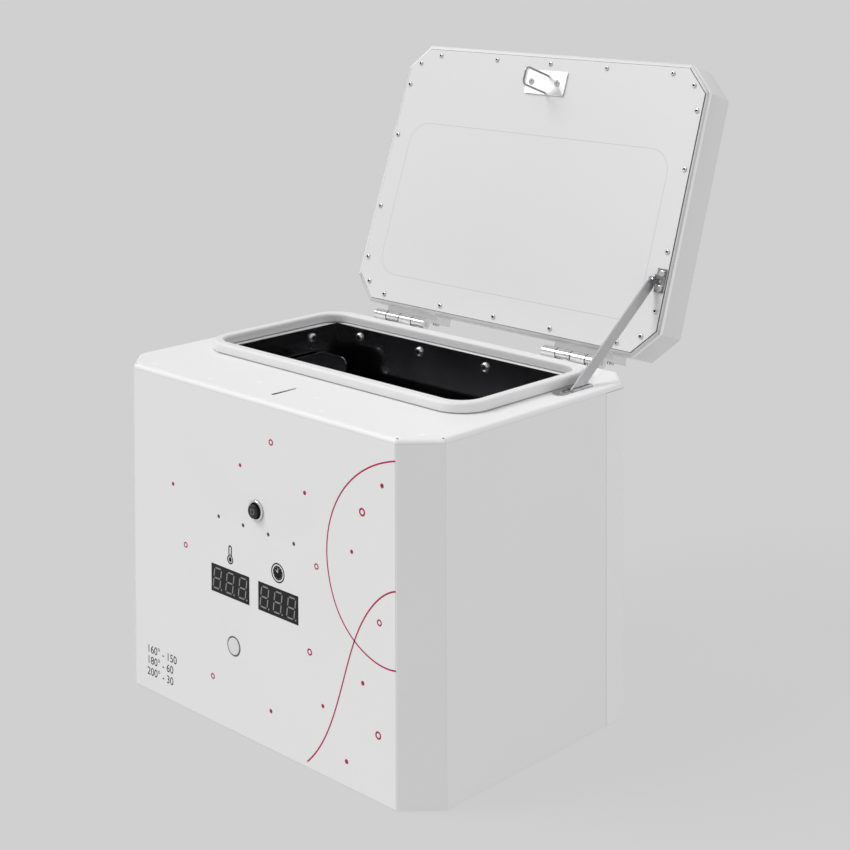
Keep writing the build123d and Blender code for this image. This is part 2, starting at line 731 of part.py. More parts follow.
PIVOT_Y = LID_REAR - ARM_V
PIVOT_Z = FLANGE_Z - ARM_DROP
EAR_T = 1.5
EAR_REACH = 4.4

with BuildPart() as stay_bracket:
    with BuildSketch(under_lid(PLATE_Z)):
        with Locations(((BRACKET_U0 + BRACKET_U1) / 2, -LID_REAR + (BRACKET_V0 + BRACKET_V1) / 2)):
            Rectangle(BRACKET_U1 - BRACKET_U0, BRACKET_V1 - BRACKET_V0)
        with Locations(*[(u, -LID_REAR + v) for u, v in BRACKET_SCREWS]):
            Circle(2.05, mode=Mode.SUBTRACT)
        with Locations((210.6, -LID_REAR + 81.5)):
            Circle(1.8, mode=Mode.SUBTRACT)
    extrude(amount=BRACKET_T)
    with BuildSketch(across_lid(BRACKET_U0)):
        with Locations((PIVOT_Y, (PLATE_Z + PIVOT_Z) / 2)):
            Rectangle(13, PLATE_Z - PIVOT_Z)
        with Locations((PIVOT_Y, PIVOT_Z)):
            Circle(EAR_REACH)
            Circle(RIVET_R, mode=Mode.SUBTRACT)
    extrude(amount=EAR_T)
save(stay_bracket.part, "stay_bracket")

with BuildPart() as stay_bracket_screws:
    with BuildSketch(under_lid(PLATE_Z - BRACKET_T)):
        with Locations(*[(u, -LID_REAR + v) for u, v in BRACKET_SCREWS]):
            Circle(3.6)
    extrude(amount=2.2)
    heads = faces().filter_by(lambda f: f.geom_type == GeomType.PLANE and f.normal_at().dot(LID_Z) < -0.9)
    fillet(heads.edges(), 1.0)
    with BuildSketch(under_lid(PLATE_Z - BRACKET_T)):
        with Locations(*[(u, -LID_REAR + v) for u, v in BRACKET_SCREWS]):
            Circle(2.0)
    extrude(amount=-8)
save(stay_bracket_screws.part, "stay_bracket_screws")

with BuildPart() as stay_rivet:
    with BuildSketch(across_lid(ARM_X - ARM_T / 2 - 1.6)):
        with Locations((PIVOT_Y, PIVOT_Z)):
            Circle(4.2)
    extrude(amount=1.3)
    with BuildSketch(across_lid(ARM_X - ARM_T / 2 - 1.6)):
        with Locations((PIVOT_Y, PIVOT_Z)):
            Circle(RIVET_R)
    extrude(amount=1.6 + ARM_T + 0.3 + EAR_T)
    with BuildSketch(across_lid(BRACKET_U0 + EAR_T)):
        with Locations((PIVOT_Y, PIVOT_Z)):
            Circle(2.8)
    extrude(amount=1.0)
save(stay_rivet.part, "stay_rivet")

PIVOT = AXIS + LID_Y * PIVOT_Y + LID_Z * PIVOT_Z
ARM_DIR = Vector(0, -math.cos(math.radians(ARM_ANGLE)), -math.sin(math.radians(ARM_ANGLE)))


def along_arm(x):
    """Sketch plane of the stay arm at x: local x runs from its pivot to its tail."""
    return Plane(origin=(x, PIVOT.Y, PIVOT.Z), x_dir=ARM_DIR, z_dir=(1, 0, 0))


with BuildPart() as stay_arm:
    with BuildSketch(along_arm(ARM_X - ARM_T / 2)):
        Circle(EAR_REACH - 0.3)
        with BuildLine():
            Polyline((0, 4.1), (8, ARM_W / 2), (8, -ARM_W / 2), (0, -4.1), close=True)
        make_face()
        with Locations((ARM_LEN / 2 + 4, 0)):
            Rectangle(ARM_LEN - 8, ARM_W)
        with Locations((ARM_LEN, 0)):
            Circle(ARM_W / 2)
        Circle(RIVET_R + RIVET_RUN, mode=Mode.SUBTRACT)
        with Locations((STOP_AT, 0)):
            Circle(2.0, mode=Mode.SUBTRACT)
    extrude(amount=ARM_T)
save(stay_arm.part, "stay_arm")

with BuildPart() as stay_stop_pin:
    with BuildSketch(along_arm(ARM_X - ARM_T / 2)):
        with Locations((STOP_AT, 0)):
            Circle(2.0)
    extrude(amount=ARM_T)
    for x, out in ((ARM_X - ARM_T / 2, -1), (ARM_X + ARM_T / 2, 1)):
        with BuildSketch(along_arm(x)):
            with Locations((STOP_AT, 0)):
                Circle(STOP_R)
        extrude(amount=out * 3)
save(stay_stop_pin.part, "stay_stop_pin")

with BuildPart() as stay_faceplate:
    with BuildSketch(level(TOP_Z)):
        with Locations((ARM_X, (FACE_Y0 + FACE_Y1) / 2)):
            SlotOverall(FACE_Y1 - FACE_Y0, 14, rotation=90)
        with Locations((ARM_X, (SLOT_Y0 + SLOT_Y1) / 2)):
            Rectangle(SLOT_X, SLOT_Y1 - SLOT_Y0, mode=Mode.SUBTRACT)
        with Locations(*[(ARM_X, y) for y in FACE_SCREW_Y]):
            Circle(1.6, mode=Mode.SUBTRACT)
    extrude(amount=FACE_T)
save(stay_faceplate.part, "stay_faceplate")

with BuildPart() as stay_faceplate_screws:
    with BuildSketch(level(TOP_Z + FACE_T)):
        with Locations(*[(ARM_X, y) for y in FACE_SCREW_Y]):
            Circle(2.6)
    extrude(amount=0.7)
    with BuildSketch(level(TOP_Z + FACE_T)):
        with Locations(*[(ARM_X, y) for y in FACE_SCREW_Y]):
            Circle(1.5)
    extrude(amount=-6)
    with BuildSketch(level(TOP_Z + FACE_T + 0.3)):
        with Locations(*[(ARM_X, y) for y in FACE_SCREW_Y]):
            Rectangle(3.0, 0.7)
            Rectangle(0.7, 3.0)
    extrude(amount=2, mode=Mode.SUBTRACT)
save(stay_faceplate_screws.part, "stay_faceplate_screws")

# Striker on the lid, lock under the top

with BuildPart() as striker_plate:
    with BuildSketch(under_lid(PLATE_Z)):
        with Locations((0, -LID_REAR + STRIKE_V)):
            Rectangle(58, 28)
        with Locations(*[(u, -LID_REAR + v) for u, v in STRIKE_SCREWS]):
            Circle(2.05, mode=Mode.SUBTRACT)
        with Locations((LOOP_X, -LID_REAR + LOOP_V0), (LOOP_X, -LID_REAR + LOOP_V1)):
            Circle(LOOP_R, mode=Mode.SUBTRACT)
    extrude(amount=STRIKE_T)
    fillet(edges().filter_by(Axis(AXIS, LID_Z)).filter_by(lambda e: abs(e.center().X) > 28), 2.0)
save(striker_plate.part, "striker_plate")

with BuildPart() as striker_loop:
    with BuildLine(across_lid(LOOP_X)) as wire:
        near = LID_REAR - LOOP_V0
        far = LID_REAR - LOOP_V1
        root = PLATE_Z
        tip = PLATE_Z - STRIKE_T - LOOP_LEN + LOOP_R
        FilletPolyline((near, root), (near, tip), (far, tip), (far, root), radius=5)
    with BuildSketch(Plane(origin=wire.line @ 0, z_dir=wire.line % 0)):
        Circle(LOOP_R)
    sweep()
save(striker_loop.part, "striker_loop")

with BuildPart() as striker_screws:
    with BuildSketch(under_lid(PLATE_Z - STRIKE_T)):
        with Locations(*[(u, -LID_REAR + v) for u, v in STRIKE_SCREWS]):
            Circle(3.6)
    extrude(amount=0.8)
    with BuildSketch(under_lid(PLATE_Z - STRIKE_T)):
        with Locations(*[(u, -LID_REAR + v) for u, v in STRIKE_SCREWS]):
            Circle(2.0)
    extrude(amount=-9)
    with BuildSketch(under_lid(PLATE_Z - STRIKE_T + 0.4)):
        with Locations(*[(u, -LID_REAR + v) for u, v in STRIKE_SCREWS]):
            Rectangle(4.2, 0.9)
            Rectangle(0.9, 4.2)
    extrude(amount=2, mode=Mode.SUBTRACT)
save(striker_screws.part, "striker_screws")

LOCK_X0 = -24.0
LOCK_X1 = 30.0
LOCK_H = 42.0
with BuildPart() as lock_housing:
    with BuildSketch(level(UNDER_TOP)):
        with Locations((0, -124)):
            Rectangle(104, 40)
    extrude(amount=-1.6)
    with BuildSketch(level(UNDER_TOP)):
        with Locations(((LOCK_X0 + LOCK_X1) / 2, -124)):
            Rectangle(LOCK_X1 - LOCK_X0, 40)
    extrude(amount=-LOCK_H)
    with BuildSketch(level(UNDER_TOP + 1)):
        with Locations((LOOP_X, -124)):
            Rectangle(12, 36)
    extrude(amount=-LOCK_H + 1, mode=Mode.SUBTRACT)
    with BuildSketch(facing_right(LOCK_X0 - 1)):
        with Locations((-122, 318)):
            Circle(4.0)
    extrude(amount=LOCK_X1 - LOCK_X0 + 2, mode=Mode.SUBTRACT)
save(lock_housing.part, "lock_housing")

with BuildPart() as lock_solenoid:
    with BuildSketch(facing_right(LOCK_X0)):
        with Locations((-122, 318)):
            Rectangle(26, 26)
    extrude(amount=-28)
    with BuildSketch(facing_right(LOCK_X0)):
        with Locations((-122, 318)):
            Circle(3.9)
    extrude(amount=18)
save(lock_solenoid.part, "lock_solenoid")

# Controls on the front

with BuildPart() as power_switch:
    with BuildSketch(facing_front(FRONT_Y)):
        with Locations((POWER_X, POWER_Z)):
            Circle(BEZEL_R)
    extrude(amount=2.4)
    fillet(faces().sort_by(Axis.Y)[0].edges(), 1.2)
    with BuildSketch(facing_front(FRONT_Y)):
        with Locations((POWER_X, POWER_Z)):
            Circle(7.95)
    extrude(amount=-26)
    with BuildSketch(facing_front(FRONT_Y + 8)):
        with Locations((POWER_X, POWER_Z)):
            Circle(CAP_R + CAP_RUN)
    extrude(amount=20, mode=Mode.SUBTRACT)
save(power_switch.part, "power_switch")

with BuildPart() as power_button:
    with BuildSketch(facing_front(FRONT_Y + 5)):
        with Locations((POWER_X, POWER_Z)):
            Circle(CAP_R)
    extrude(amount=8.2)
    fillet(faces().sort_by(Axis.Y)[0].edges(), 0.8)
save(power_button.part, "power_button")

with BuildPart() as power_switch_nut:
    with BuildSketch(facing_front(FRONT_Y + SHEET)):
        with Locations((POWER_X, POWER_Z)):
            RegularPolygon(11, 6)
            Circle(7.95, mode=Mode.SUBTRACT)
    extrude(amount=-3)
save(power_switch_nut.part, "power_switch_nut")

with BuildPart() as program_button:
    with BuildSketch(facing_front(FRONT_Y + 3.5)):
        with Locations((PROG_X, PROG_Z)):
            Circle(PROG_R - 1.6)
    extrude(amount=4.2)
    fillet(faces().sort_by(Axis.Y)[0].edges(), 0.5)
    with BuildSketch(facing_front(FRONT_Y + 3.5)):
        with Locations((PROG_X, PROG_Z)):
            Circle(2.0)
    extrude(amount=-10)
save(program_button.part, "program_button")

with BuildPart() as program_switch:
    with BuildSketch(facing_front(BOARD_Y)):
        with Locations((PROG_X, PROG_Z)):
            Rectangle(12, 12)
    extrude(amount=7)
    with BuildSketch(facing_front(BOARD_Y + 0)):
        with Locations((PROG_X, PROG_Z)):
            Circle(PROG_R)
    extrude(amount=BOARD_Y - FRONT_Y + 0.1)
    with BuildSketch(facing_front(BOARD_Y - 7)):
        with Locations((PROG_X, PROG_Z)):
            Circle(PROG_R - 1.25)
    extrude(amount=20, mode=Mode.SUBTRACT)
save(program_switch.part, "program_switch")

with BuildPart() as status_leds:
    with BuildSketch(facing_front(BOARD_Y)):
        with Locations(*[(x, LED_Z) for x in LED_X]):
            Circle(LED_R)
    extrude(amount=BOARD_Y - FRONT_Y)
    fillet(faces().sort_by(Axis.Y)[:4].edges(), 0.6)
save(status_leds.part, "status_leds")

for label, x in (("temperature_display", DISP_X[0]), ("time_display", DISP_X[1])):
    with BuildPart() as display:
        with BuildSketch(facing_front(BOARD_Y)):
            with Locations((x, DISP_Z)):
                Rectangle(DISP_W, DISP_H)
        extrude(amount=BOARD_Y - FRONT_Y - 0.4)
    save(display.part, label)

STANDOFFS = [(-86.0, 74.0), (86.0, 74.0), (-86.0, 236.0), (86.0, 236.0)]
with BuildPart() as control_board:
    with BuildSketch(facing_front(BOARD_Y)):
        with Locations((0, 155)):
            Rectangle(184, 174)
        with Locations((POWER_X, POWER_Z)):
            Circle(10, mode=Mode.SUBTRACT)
        with Locations(*STANDOFFS):
            Circle(1.6, mode=Mode.SUBTRACT)
    extrude(amount=-BOARD_T)
    # controller chip, terminal strip, buzzer and capacitor on the back
    with BuildSketch(facing_front(BOARD_Y + BOARD_T)):
        with Locations((0, 120)):
            Rectangle(34, 14)
        with Locations((60, 84)):
            Rectangle(42, 10)
    extrude(amount=-5)
    with BuildSketch(facing_front(BOARD_Y + BOARD_T)):
        with Locations((-50, 190)):
            Circle(6)
        with Locations((50, 190)):
            Circle(5)
    extrude(amount=-9)
save(control_board.part, "control_board")

with BuildPart() as board_standoffs:
    with BuildSketch(facing_front(BOARD_Y)):
        with Locations(*STANDOFFS):
            RegularPolygon(3.2, 6)
    extrude(amount=BOARD_Y - FRONT_Y - SHEET)
    with BuildSketch(facing_front(BOARD_Y)):
        with Locations(*STANDOFFS):
            Circle(1.55)
    extrude(amount=-4)
    with BuildSketch(facing_front(BOARD_Y + BOARD_T)):
        with Locations(*STANDOFFS):
            RegularPolygon(3.2, 6)
            Circle(1.55, mode=Mode.SUBTRACT)
    extrude(amount=-2)
save(board_standoffs.part, "board_standoffs")

# Mains side, on the base

FLOOR = PAD_T + SHEET
with BuildPart() as mains_inlet:
    with BuildSketch(facing_back(HY)):
        with Locations((-INLET_X, INLET_Z)):
            Rectangle(50, 24)
    extrude(amount=2)
    with BuildSketch(facing_back(HY)):
        with Locations((-INLET_X, INLET_Z)):
            Rectangle(27, 20)
    extrude(amount=-24)
    with BuildSketch(facing_back(HY - 18)):
        with Locations((-INLET_X, INLET_Z)):
            Rectangle(24, 16.5)
    extrude(amount=30, mode=Mode.SUBTRACT)
    with BuildSketch(facing_back(HY - 18)):
        with Locations((-INLET_X - 7, INLET_Z - 2), (-INLET_X, INLET_Z + 2), (-INLET_X + 7, INLET_Z - 2)):
            Rectangle(2, 4)
    extrude(amount=15)
    with BuildSketch(facing_back(HY - 24)):
        with Locations((-INLET_X - 7, INLET_Z - 2), (-INLET_X, INLET_Z + 2), (-INLET_X + 7, INLET_Z - 2)):
            Rectangle(0.8, 4.8)
    extrude(amount=-8)
    with BuildSketch(facing_back(HY - 3)):
        with Locations((-INLET_X - 20, INLET_Z), (-INLET_X + 20, INLET_Z)):
            Circle(1.6)
    extrude(amount=8, mode=Mode.SUBTRACT)
save(mains_inlet.part, "mains_inlet")

with BuildPart() as mains_inlet_screws:
    with BuildSketch(facing_back(HY + 2)):
        with Locations((-INLET_X - 20, INLET_Z), (-INLET_X + 20, INLET_Z)):
            Circle(2.8)
    extrude(amount=1.6)
    with BuildSketch(facing_back(HY + 2)):
        with Locations((-INLET_X - 20, INLET_Z), (-INLET_X + 20, INLET_Z)):
            Circle(1.55)
    extrude(amount=-8)
save(mains_inlet_screws.part, "mains_inlet_screws")

with BuildPart() as transformer:
    with BuildSketch(level(FLOOR)):
        with Locations((70, -110)):
            Rectangle(44, 36)
    extrude(amount=30)
    with BuildSketch(level(FLOOR)):
        with Locations((70, -110)):
            Rectangle(26, 46)
    extrude(amount=26)
save(transformer.part, "transformer")

with BuildPart() as heater_relay:
    with BuildSketch(level(FLOOR)):
        with Locations((-60, -114)):
            Rectangle(60, 45)
    extrude(amount=3)
    with BuildSketch(level(FLOOR + 3)):
        with Locations((-60, -114)):
            Rectangle(57, 43)
    extrude(amount=20)
save(heater_relay.part, "heater_relay")

with BuildPart() as terminal_block:
    with BuildSketch(level(FLOOR)):
        with Locations((10, -112)):
            Rectangle(40, 20)
    extrude(amount=16)
    with BuildSketch(level(FLOOR + 16)):
        with Locations(*[(10 + 10 * k, -112) for k in (-1.5, -0.5, 0.5, 1.5)]):
            Circle(3)
    extrude(amount=-5, mode=Mode.SUBTRACT)
save(terminal_block.part, "terminal_block")
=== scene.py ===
"""Looks of the bench dry heat sterilizer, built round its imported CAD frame.

Metres, in the frame of the CAD: Z is up, the front faces -Y, the right side faces +X. Sizes are
written in millimetres and turned to metres by MM. The lid stands open at rest.
"""

from __future__ import annotations

import json
import logging
import math
from dataclasses import dataclass, field
from enum import Enum
from typing import Callable, Sequence

import bmesh
import bpy
from mathutils import Matrix, Vector

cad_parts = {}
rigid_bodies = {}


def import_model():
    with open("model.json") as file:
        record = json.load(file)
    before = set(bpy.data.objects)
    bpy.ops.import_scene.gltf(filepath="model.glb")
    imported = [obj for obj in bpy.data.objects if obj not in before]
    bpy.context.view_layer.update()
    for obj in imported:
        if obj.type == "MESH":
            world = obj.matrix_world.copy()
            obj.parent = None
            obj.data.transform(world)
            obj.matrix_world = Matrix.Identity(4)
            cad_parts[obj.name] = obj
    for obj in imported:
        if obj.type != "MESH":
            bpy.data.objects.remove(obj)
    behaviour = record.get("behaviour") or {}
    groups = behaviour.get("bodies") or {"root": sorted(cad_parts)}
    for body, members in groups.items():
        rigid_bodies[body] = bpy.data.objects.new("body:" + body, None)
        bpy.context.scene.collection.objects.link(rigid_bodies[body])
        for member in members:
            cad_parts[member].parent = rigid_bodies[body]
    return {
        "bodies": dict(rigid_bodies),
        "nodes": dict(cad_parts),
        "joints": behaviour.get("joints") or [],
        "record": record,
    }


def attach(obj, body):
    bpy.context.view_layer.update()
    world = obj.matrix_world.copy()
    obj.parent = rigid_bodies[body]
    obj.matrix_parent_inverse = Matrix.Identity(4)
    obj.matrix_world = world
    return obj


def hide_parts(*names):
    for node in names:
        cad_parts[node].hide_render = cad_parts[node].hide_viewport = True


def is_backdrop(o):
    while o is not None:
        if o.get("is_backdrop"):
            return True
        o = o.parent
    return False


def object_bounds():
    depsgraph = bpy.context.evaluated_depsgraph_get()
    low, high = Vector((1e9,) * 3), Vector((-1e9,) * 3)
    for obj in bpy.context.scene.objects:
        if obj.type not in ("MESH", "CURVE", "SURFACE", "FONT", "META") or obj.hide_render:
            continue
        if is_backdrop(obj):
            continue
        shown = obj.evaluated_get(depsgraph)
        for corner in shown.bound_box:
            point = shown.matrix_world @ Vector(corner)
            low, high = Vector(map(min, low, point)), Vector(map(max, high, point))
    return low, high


LOG = logging.getLogger("sterilizer")
MM = 0.001

Colour = tuple[float, float, float]
Point2 = tuple[float, float]
Point3 = tuple[float, float, float]
Place = Callable[[float, float, float], Vector]
Material = bpy.types.Material
Piece = bpy.types.Object
Mesh = bmesh.types.BMesh

# Places and widths in millimetres that parts share or that materials pick out by place; RIM_RISE
# and RIM_RUN are the direction in which the open lid's plate faces; RIM_REACH is the depth of the painted rim
# highlight
CASING_TOP, FRONT_Y = 338.0, -161.0
MARK_LOW, MARK_HIGH = -0.02, 0.03
HINGE_Y, HINGE_Z = 169.0, 340.2
FOLD_X, FOLD_Y, FOLD_Z, FOLD_HALF, TOP_FOLD_HALF = 192.7, 128.7, 333.3, 0.28, 0.22
FRONT_LIMIT, SIDE_LIMIT, TOP_LIMIT = -159.5, 223.5, 334.2
RIM_RISE, RIM_RUN, RIM_REACH = 0.9407, 0.3391, 15.2
KNUCKLE_X, KNUCKLE_STEP, KNUCKLE_GAP, BARREL_REACH = 127.0, 19.9, 0.6, 6.4


def linear(level: float) -> float:
    """Linear value of a screen level from 0 to 255."""
    c = level / 255
    return c / 12.92 if c <= 0.04045 else ((c + 0.055) / 1.055) ** 2.4


def grey(level: float) -> Colour:
    """Neutral linear colour of a screen level."""
    return (linear(level),) * 3


def rgb(red: float, green: float, blue: float) -> Colour:
    """Linear colour of three screen levels."""
    return linear(red), linear(green), linear(blue)


def scaled(colour: Colour, factor: float) -> Colour:
    """Colour times a factor."""
    return tuple(c * factor for c in colour)


def at(x: float, y: float, z: float) -> Vector:
    """Point given in millimetres."""
    return Vector((x, y, z)) * MM


# Shader writing


class Value:
    """A shader socket that takes part in Python expressions."""

    def __init__(self, board: Board, socket: bpy.types.NodeSocket) -> None:
        """Wrap one output socket of a board."""
        self.board = board
        self.socket = socket

    def _math(self, operation: str, first: object, second: object) -> Value:
        """Add one Math node and return its result."""
        return self.board.add("ShaderNodeMath", {"operation": operation}, {0: first, 1: second})

    def __add__(self, other: object) -> Value:
        """Sum."""
        return self._math("ADD", self, other)

    __radd__ = __add__

    def __mul__(self, other: object) -> Value:
        """Product."""
        return self._math("MULTIPLY", self, other)

    __rmul__ = __mul__

    def __sub__(self, other: object) -> Value:
        """Difference."""
        return self._math("SUBTRACT", self, other)

    def __rsub__(self, other: object) -> Value:
        """Reflected difference."""
        return self._math("SUBTRACT", other, self)

    def __pow__(self, other: object) -> Value:
        """Power."""
        return self._math("POWER", self, other)

    def __lt__(self, other: object) -> Value:
        """One where this is below the other value."""
        return self._math("LESS_THAN", self, other)

    def __gt__(self, other: object) -> Value:
        """One where this is above the other value."""
        return self._math("GREATER_THAN", self, other)

    def __abs__(self) -> Value:
        """Absolute value."""
        return self._math("ABSOLUTE", self, 0.0)


class Board:
    """The node tree of one material or world."""

    def __init__(self, name: str, world: bool = False) -> None:
        """Start an empty material, or an empty world, with that name."""
        self.owner = (bpy.data.worlds if world else bpy.data.materials).new(name)
        self.owner.use_nodes = True
        self.tree = self.owner.node_tree
        self.tree.nodes.clear()

    def add(
        self,
        kind: str,
        settings: dict[str, object] | None = None,
        inputs: dict[object, object] | None = None,
        output: int | str = 0,
    ) -> Value:
        """Add one node.

        Args:
            kind: the node's type name.
            settings: attributes set before the sockets are filled.
            inputs: socket name or index to a value or a link.
            output: the socket to return.

        Returns:
            The chosen output, wrapped.
        """
        node = self.tree.nodes.new(kind)
        for key, value in (settings or {}).items():
            if key == "stops":
                self._stops(node, value)
            else:
                setattr(node, key, value)
        for key, value in (inputs or {}).items():
            if isinstance(value, Value):
                self.tree.links.new(value.socket, node.inputs[key])
            else:
                node.inputs[key].default_value = value
        return Value(self, node.outputs[output])

    @staticmethod
    def _stops(node: bpy.types.Node, stops: Sequence[tuple[float, float]]) -> None:
        """Fill a colour ramp with grey stops."""
        ramp = node.color_ramp
        while len(ramp.elements) < len(stops):
            ramp.elements.new(0.5)
        for element, (place, level) in zip(ramp.elements, stops):
            element.position = place
            element.color = (level, level, level, 1)

    def place(self) -> Value:
        """Object coordinates, in metres."""
        return self.add("ShaderNodeTexCoord", output="Object")

    def axes(self) -> tuple[Value, Value, Value]:
        """The three object coordinates as separate values."""
        split = self.add("ShaderNodeSeparateXYZ", inputs={0: self.place()})
        return tuple(Value(self, axis) for axis in split.socket.node.outputs)

    def noise(self, per_metre: float, detail: float, stretch: Colour = (1, 1, 1)) -> Value:
        """Noise from 0 to 1.

        Args:
            per_metre: how many lumps fit in a metre.
            detail: octaves.
            stretch: scale along each axis, below 1 to draw the lumps out.

        Returns:
            The noise value.
        """
        spot = self.add("ShaderNodeMapping", inputs={"Vector": self.place(), "Scale": stretch})
        return self.add("ShaderNodeTexNoise", inputs={"Vector": spot, "Scale": per_metre, "Detail": detail})

    def ramp(self, value: Value, *stops: tuple[float, float]) -> Value:
        """Grey ramp of a value."""
        return self.add("ShaderNodeValToRGB", {"stops": stops}, {0: value})

    def mix(self, factor: object, first: object, second: object) -> Value:
        """Colour mix from first to second by factor."""
        first, second = (c if isinstance(c, Value) else (*c, 1.0) for c in (first, second))
        return self.add("ShaderNodeMix", {"data_type": "RGBA"}, {0: factor, 6: first, 7: second}, 2)

    def bump(self, height: Value, depth: float) -> Value:
        """Normal bent by a height in units of depth metres."""
        inputs = {"Height": height, "Distance": depth, "Strength": 1.0}
        return self.add("ShaderNodeBump", inputs=inputs, output="Normal")

    def finish(self, **sockets: object) -> Material:
        """Close the tree with a Principled shader.

        Args:
            sockets: Principled inputs, with underscores for spaces.

        Returns:
            The finished material.
        """
        inputs = {key.replace("_", " "): value for key, value in sockets.items()}
        self.add_output(self.add("ShaderNodeBsdfPrincipled", inputs=inputs))
        return self.owner

    def add_output(self, shader: Value, kind: str = "ShaderNodeOutputMaterial") -> None:
        """Link a shader to the surface."""
        out = self.tree.nodes.new(kind)
        self.tree.links.new(shader.socket, out.inputs["Surface"])


# Finishes


@dataclass(frozen=True)
class PowderCoat:
    """White powder coat: a very fine leathery skin with a soft satin sheen, with optional painted shade along
    the sheet's folds and a painted highlight on the lid's rim.
    """

    name: str
    colour: Colour = (0.89, 0.89, 0.89)
    roughness: float = 0.42
    grain: float = 900.0
    depth: float = 0.000035
    fold_lines: bool = False
    lid_rim: bool = False
    fade: float = 0.985
    fold_shade: float = 0.72
    unevenness: float = 0.08

    def make(self) -> Material:
        """Build the material."""
        b = Board(self.name)
        skin = b.noise(self.grain, 2.0)
        cloud = b.noise(9.0, 3.0)
        tone = b.mix(cloud, scaled(self.colour, self.fade), self.colour)
        # Painted highlight: the lid's coat is lightened in a band along its rim next to the plate, where the
        # bend catches the light.
        if self.lid_rim:
            _, y, z = b.axes()
            depth = (y - HINGE_Y * MM) * RIM_RISE - (z - HINGE_Z * MM) * RIM_RUN
            tone = b.mix(depth < RIM_REACH * MM, tone, (0.97, 0.97, 0.97))
        # Painted shade: thin darker lines along the sheet's folds, where the creases fall into shade.
        if self.fold_lines:
            x, y, z = b.axes()
            front = (abs(abs(x) - FOLD_X * MM) < FOLD_HALF * MM) * (y < FRONT_LIMIT * MM)
            side = (abs(abs(y) - FOLD_Y * MM) < FOLD_HALF * MM) * (abs(x) > SIDE_LIMIT * MM)
            top = (abs(z - FOLD_Z * MM) < TOP_FOLD_HALF * MM) * (z < TOP_LIMIT * MM)
            tone = b.mix(front + side * 0.5 + top * 0.6, tone, scaled(self.colour, self.fold_shade))
        return b.finish(
            Base_Color=tone,
            Roughness=self.roughness + (cloud - 0.5) * self.unevenness,
            Normal=b.bump(skin, self.depth),
        )


@dataclass(frozen=True)
class PolishedSheet:
    """Mirror polished sheet, its colour darkened as painted shade for the dark reflections it shows, with
    faint vertical streaks and haze.
    """

    name: str
    # Painted shade: the colour is kept dark to stand for the dark surroundings the mirror walls reflect.
    colour: Colour = (0.34, 0.34, 0.35)
    roughness: float = 0.1

    def make(self) -> Material:
        """Build the material."""
        b = Board(self.name)
        streak = b.noise(150.0, 2.0, (1, 1, 0.02))
        haze = b.ramp(b.noise(11.0, 4.0), (0.35, 0.0), (0.75, 1.0))
        tone = b.mix(haze * 0.5, self.colour, scaled(self.colour, 1.3))
        return b.finish(
            Base_Color=tone,
            Metallic=1.0,
            Roughness=self.roughness + streak * 0.05 + haze * 0.08,
            Normal=b.bump(streak, 0.000012),
        )


@dataclass(frozen=True)
class BrightMetal:
    """Plated or polished metal with hairline scratches and dirt spots, with optional painted dark reflection
    bands, painted shade in screw recesses and painted shade in the gaps between hinge knuckles.
    """

    name: str
    colour: Colour = (0.78, 0.78, 0.78)
    roughness: float = 0.14
    stretch: Colour = (0.05, 1, 1)
    scratch: float = 0.1
    dirt: float = 0.12
    banding: float = 0.0
    knuckles: bool = False

    def make(self) -> Material:
        """Build the material."""
        b = Board(self.name)
        lines = b.noise(1600.0, 3.0, self.stretch)
        spots = b.ramp(b.noise(160.0, 4.0), (0.5, 0.0), (0.75, 1.0))
        tone = b.mix(spots * self.dirt, self.colour, scaled(self.colour, 0.45))
        if self.banding:
            # Painted reflection: dark bands by facing angle stand for the dark surroundings that polished
            # metal reflects.
            facing = b.add("ShaderNodeLayerWeight", inputs={"Blend": 0.5}, output="Facing")
            stops = ((0.0, 0.0), (0.4, 0.05), (0.62, 0.45), (0.72, 0.1), (0.88, 0.9), (1.0, 1.0))
            tone = b.mix(b.ramp(facing, *stops) * self.banding, tone, grey(38))
            # Painted shade: faces deep in the screw's recess are darkened.
            inner = b.add("ShaderNodeAttribute", {"attribute_name": "inner"}, output="Fac")
            tone = b.mix(inner, tone, grey(30))
        if self.knuckles:
            # Painted shade: thin dark lines in the gaps between the hinge barrel's knuckles.
            x, y, z = b.axes()
            along = abs(abs(x) - KNUCKLE_X * MM)
            gap = (along < KNUCKLE_GAP * MM) + (abs(along - KNUCKLE_STEP * MM) < KNUCKLE_GAP * MM)
            reach = (y - HINGE_Y * MM) ** 2.0 + (z - HINGE_Z * MM) ** 2.0
            tone = b.mix(gap * (reach < (BARREL_REACH * MM) ** 2), tone, grey(45))
        return b.finish(
            Base_Color=tone,
            Metallic=1.0,
            Roughness=self.roughness + (lines - 0.5) * self.scratch + spots * 0.06,
            Normal=b.bump(lines, 0.00001),
        )


@dataclass(frozen=True)
class Moulded:
    """Moulded plastic, rubber or silicone with a fine skin and slight mottling."""

    name: str
    colour: Colour = (0.03, 0.03, 0.03)
    roughness: float = 0.4
    grain: float = 1400.0
    depth: float = 0.00002
    coat: float = 0.0
    specular: float = 0.5

    def make(self) -> Material:
        """Build the material."""
        b = Board(self.name)
        skin = b.noise(self.grain, 2.0)
        cloud = b.noise(45.0, 3.0)
        tone = b.mix(cloud * 0.5, self.colour, scaled(self.colour, 0.86))
        return b.finish(
            Base_Color=tone,
            Roughness=self.roughness + (cloud - 0.5) * 0.12,
            Coat_Weight=self.coat,
            Specular_IOR_Level=self.specular,
            Normal=b.bump(skin, self.depth),
        )


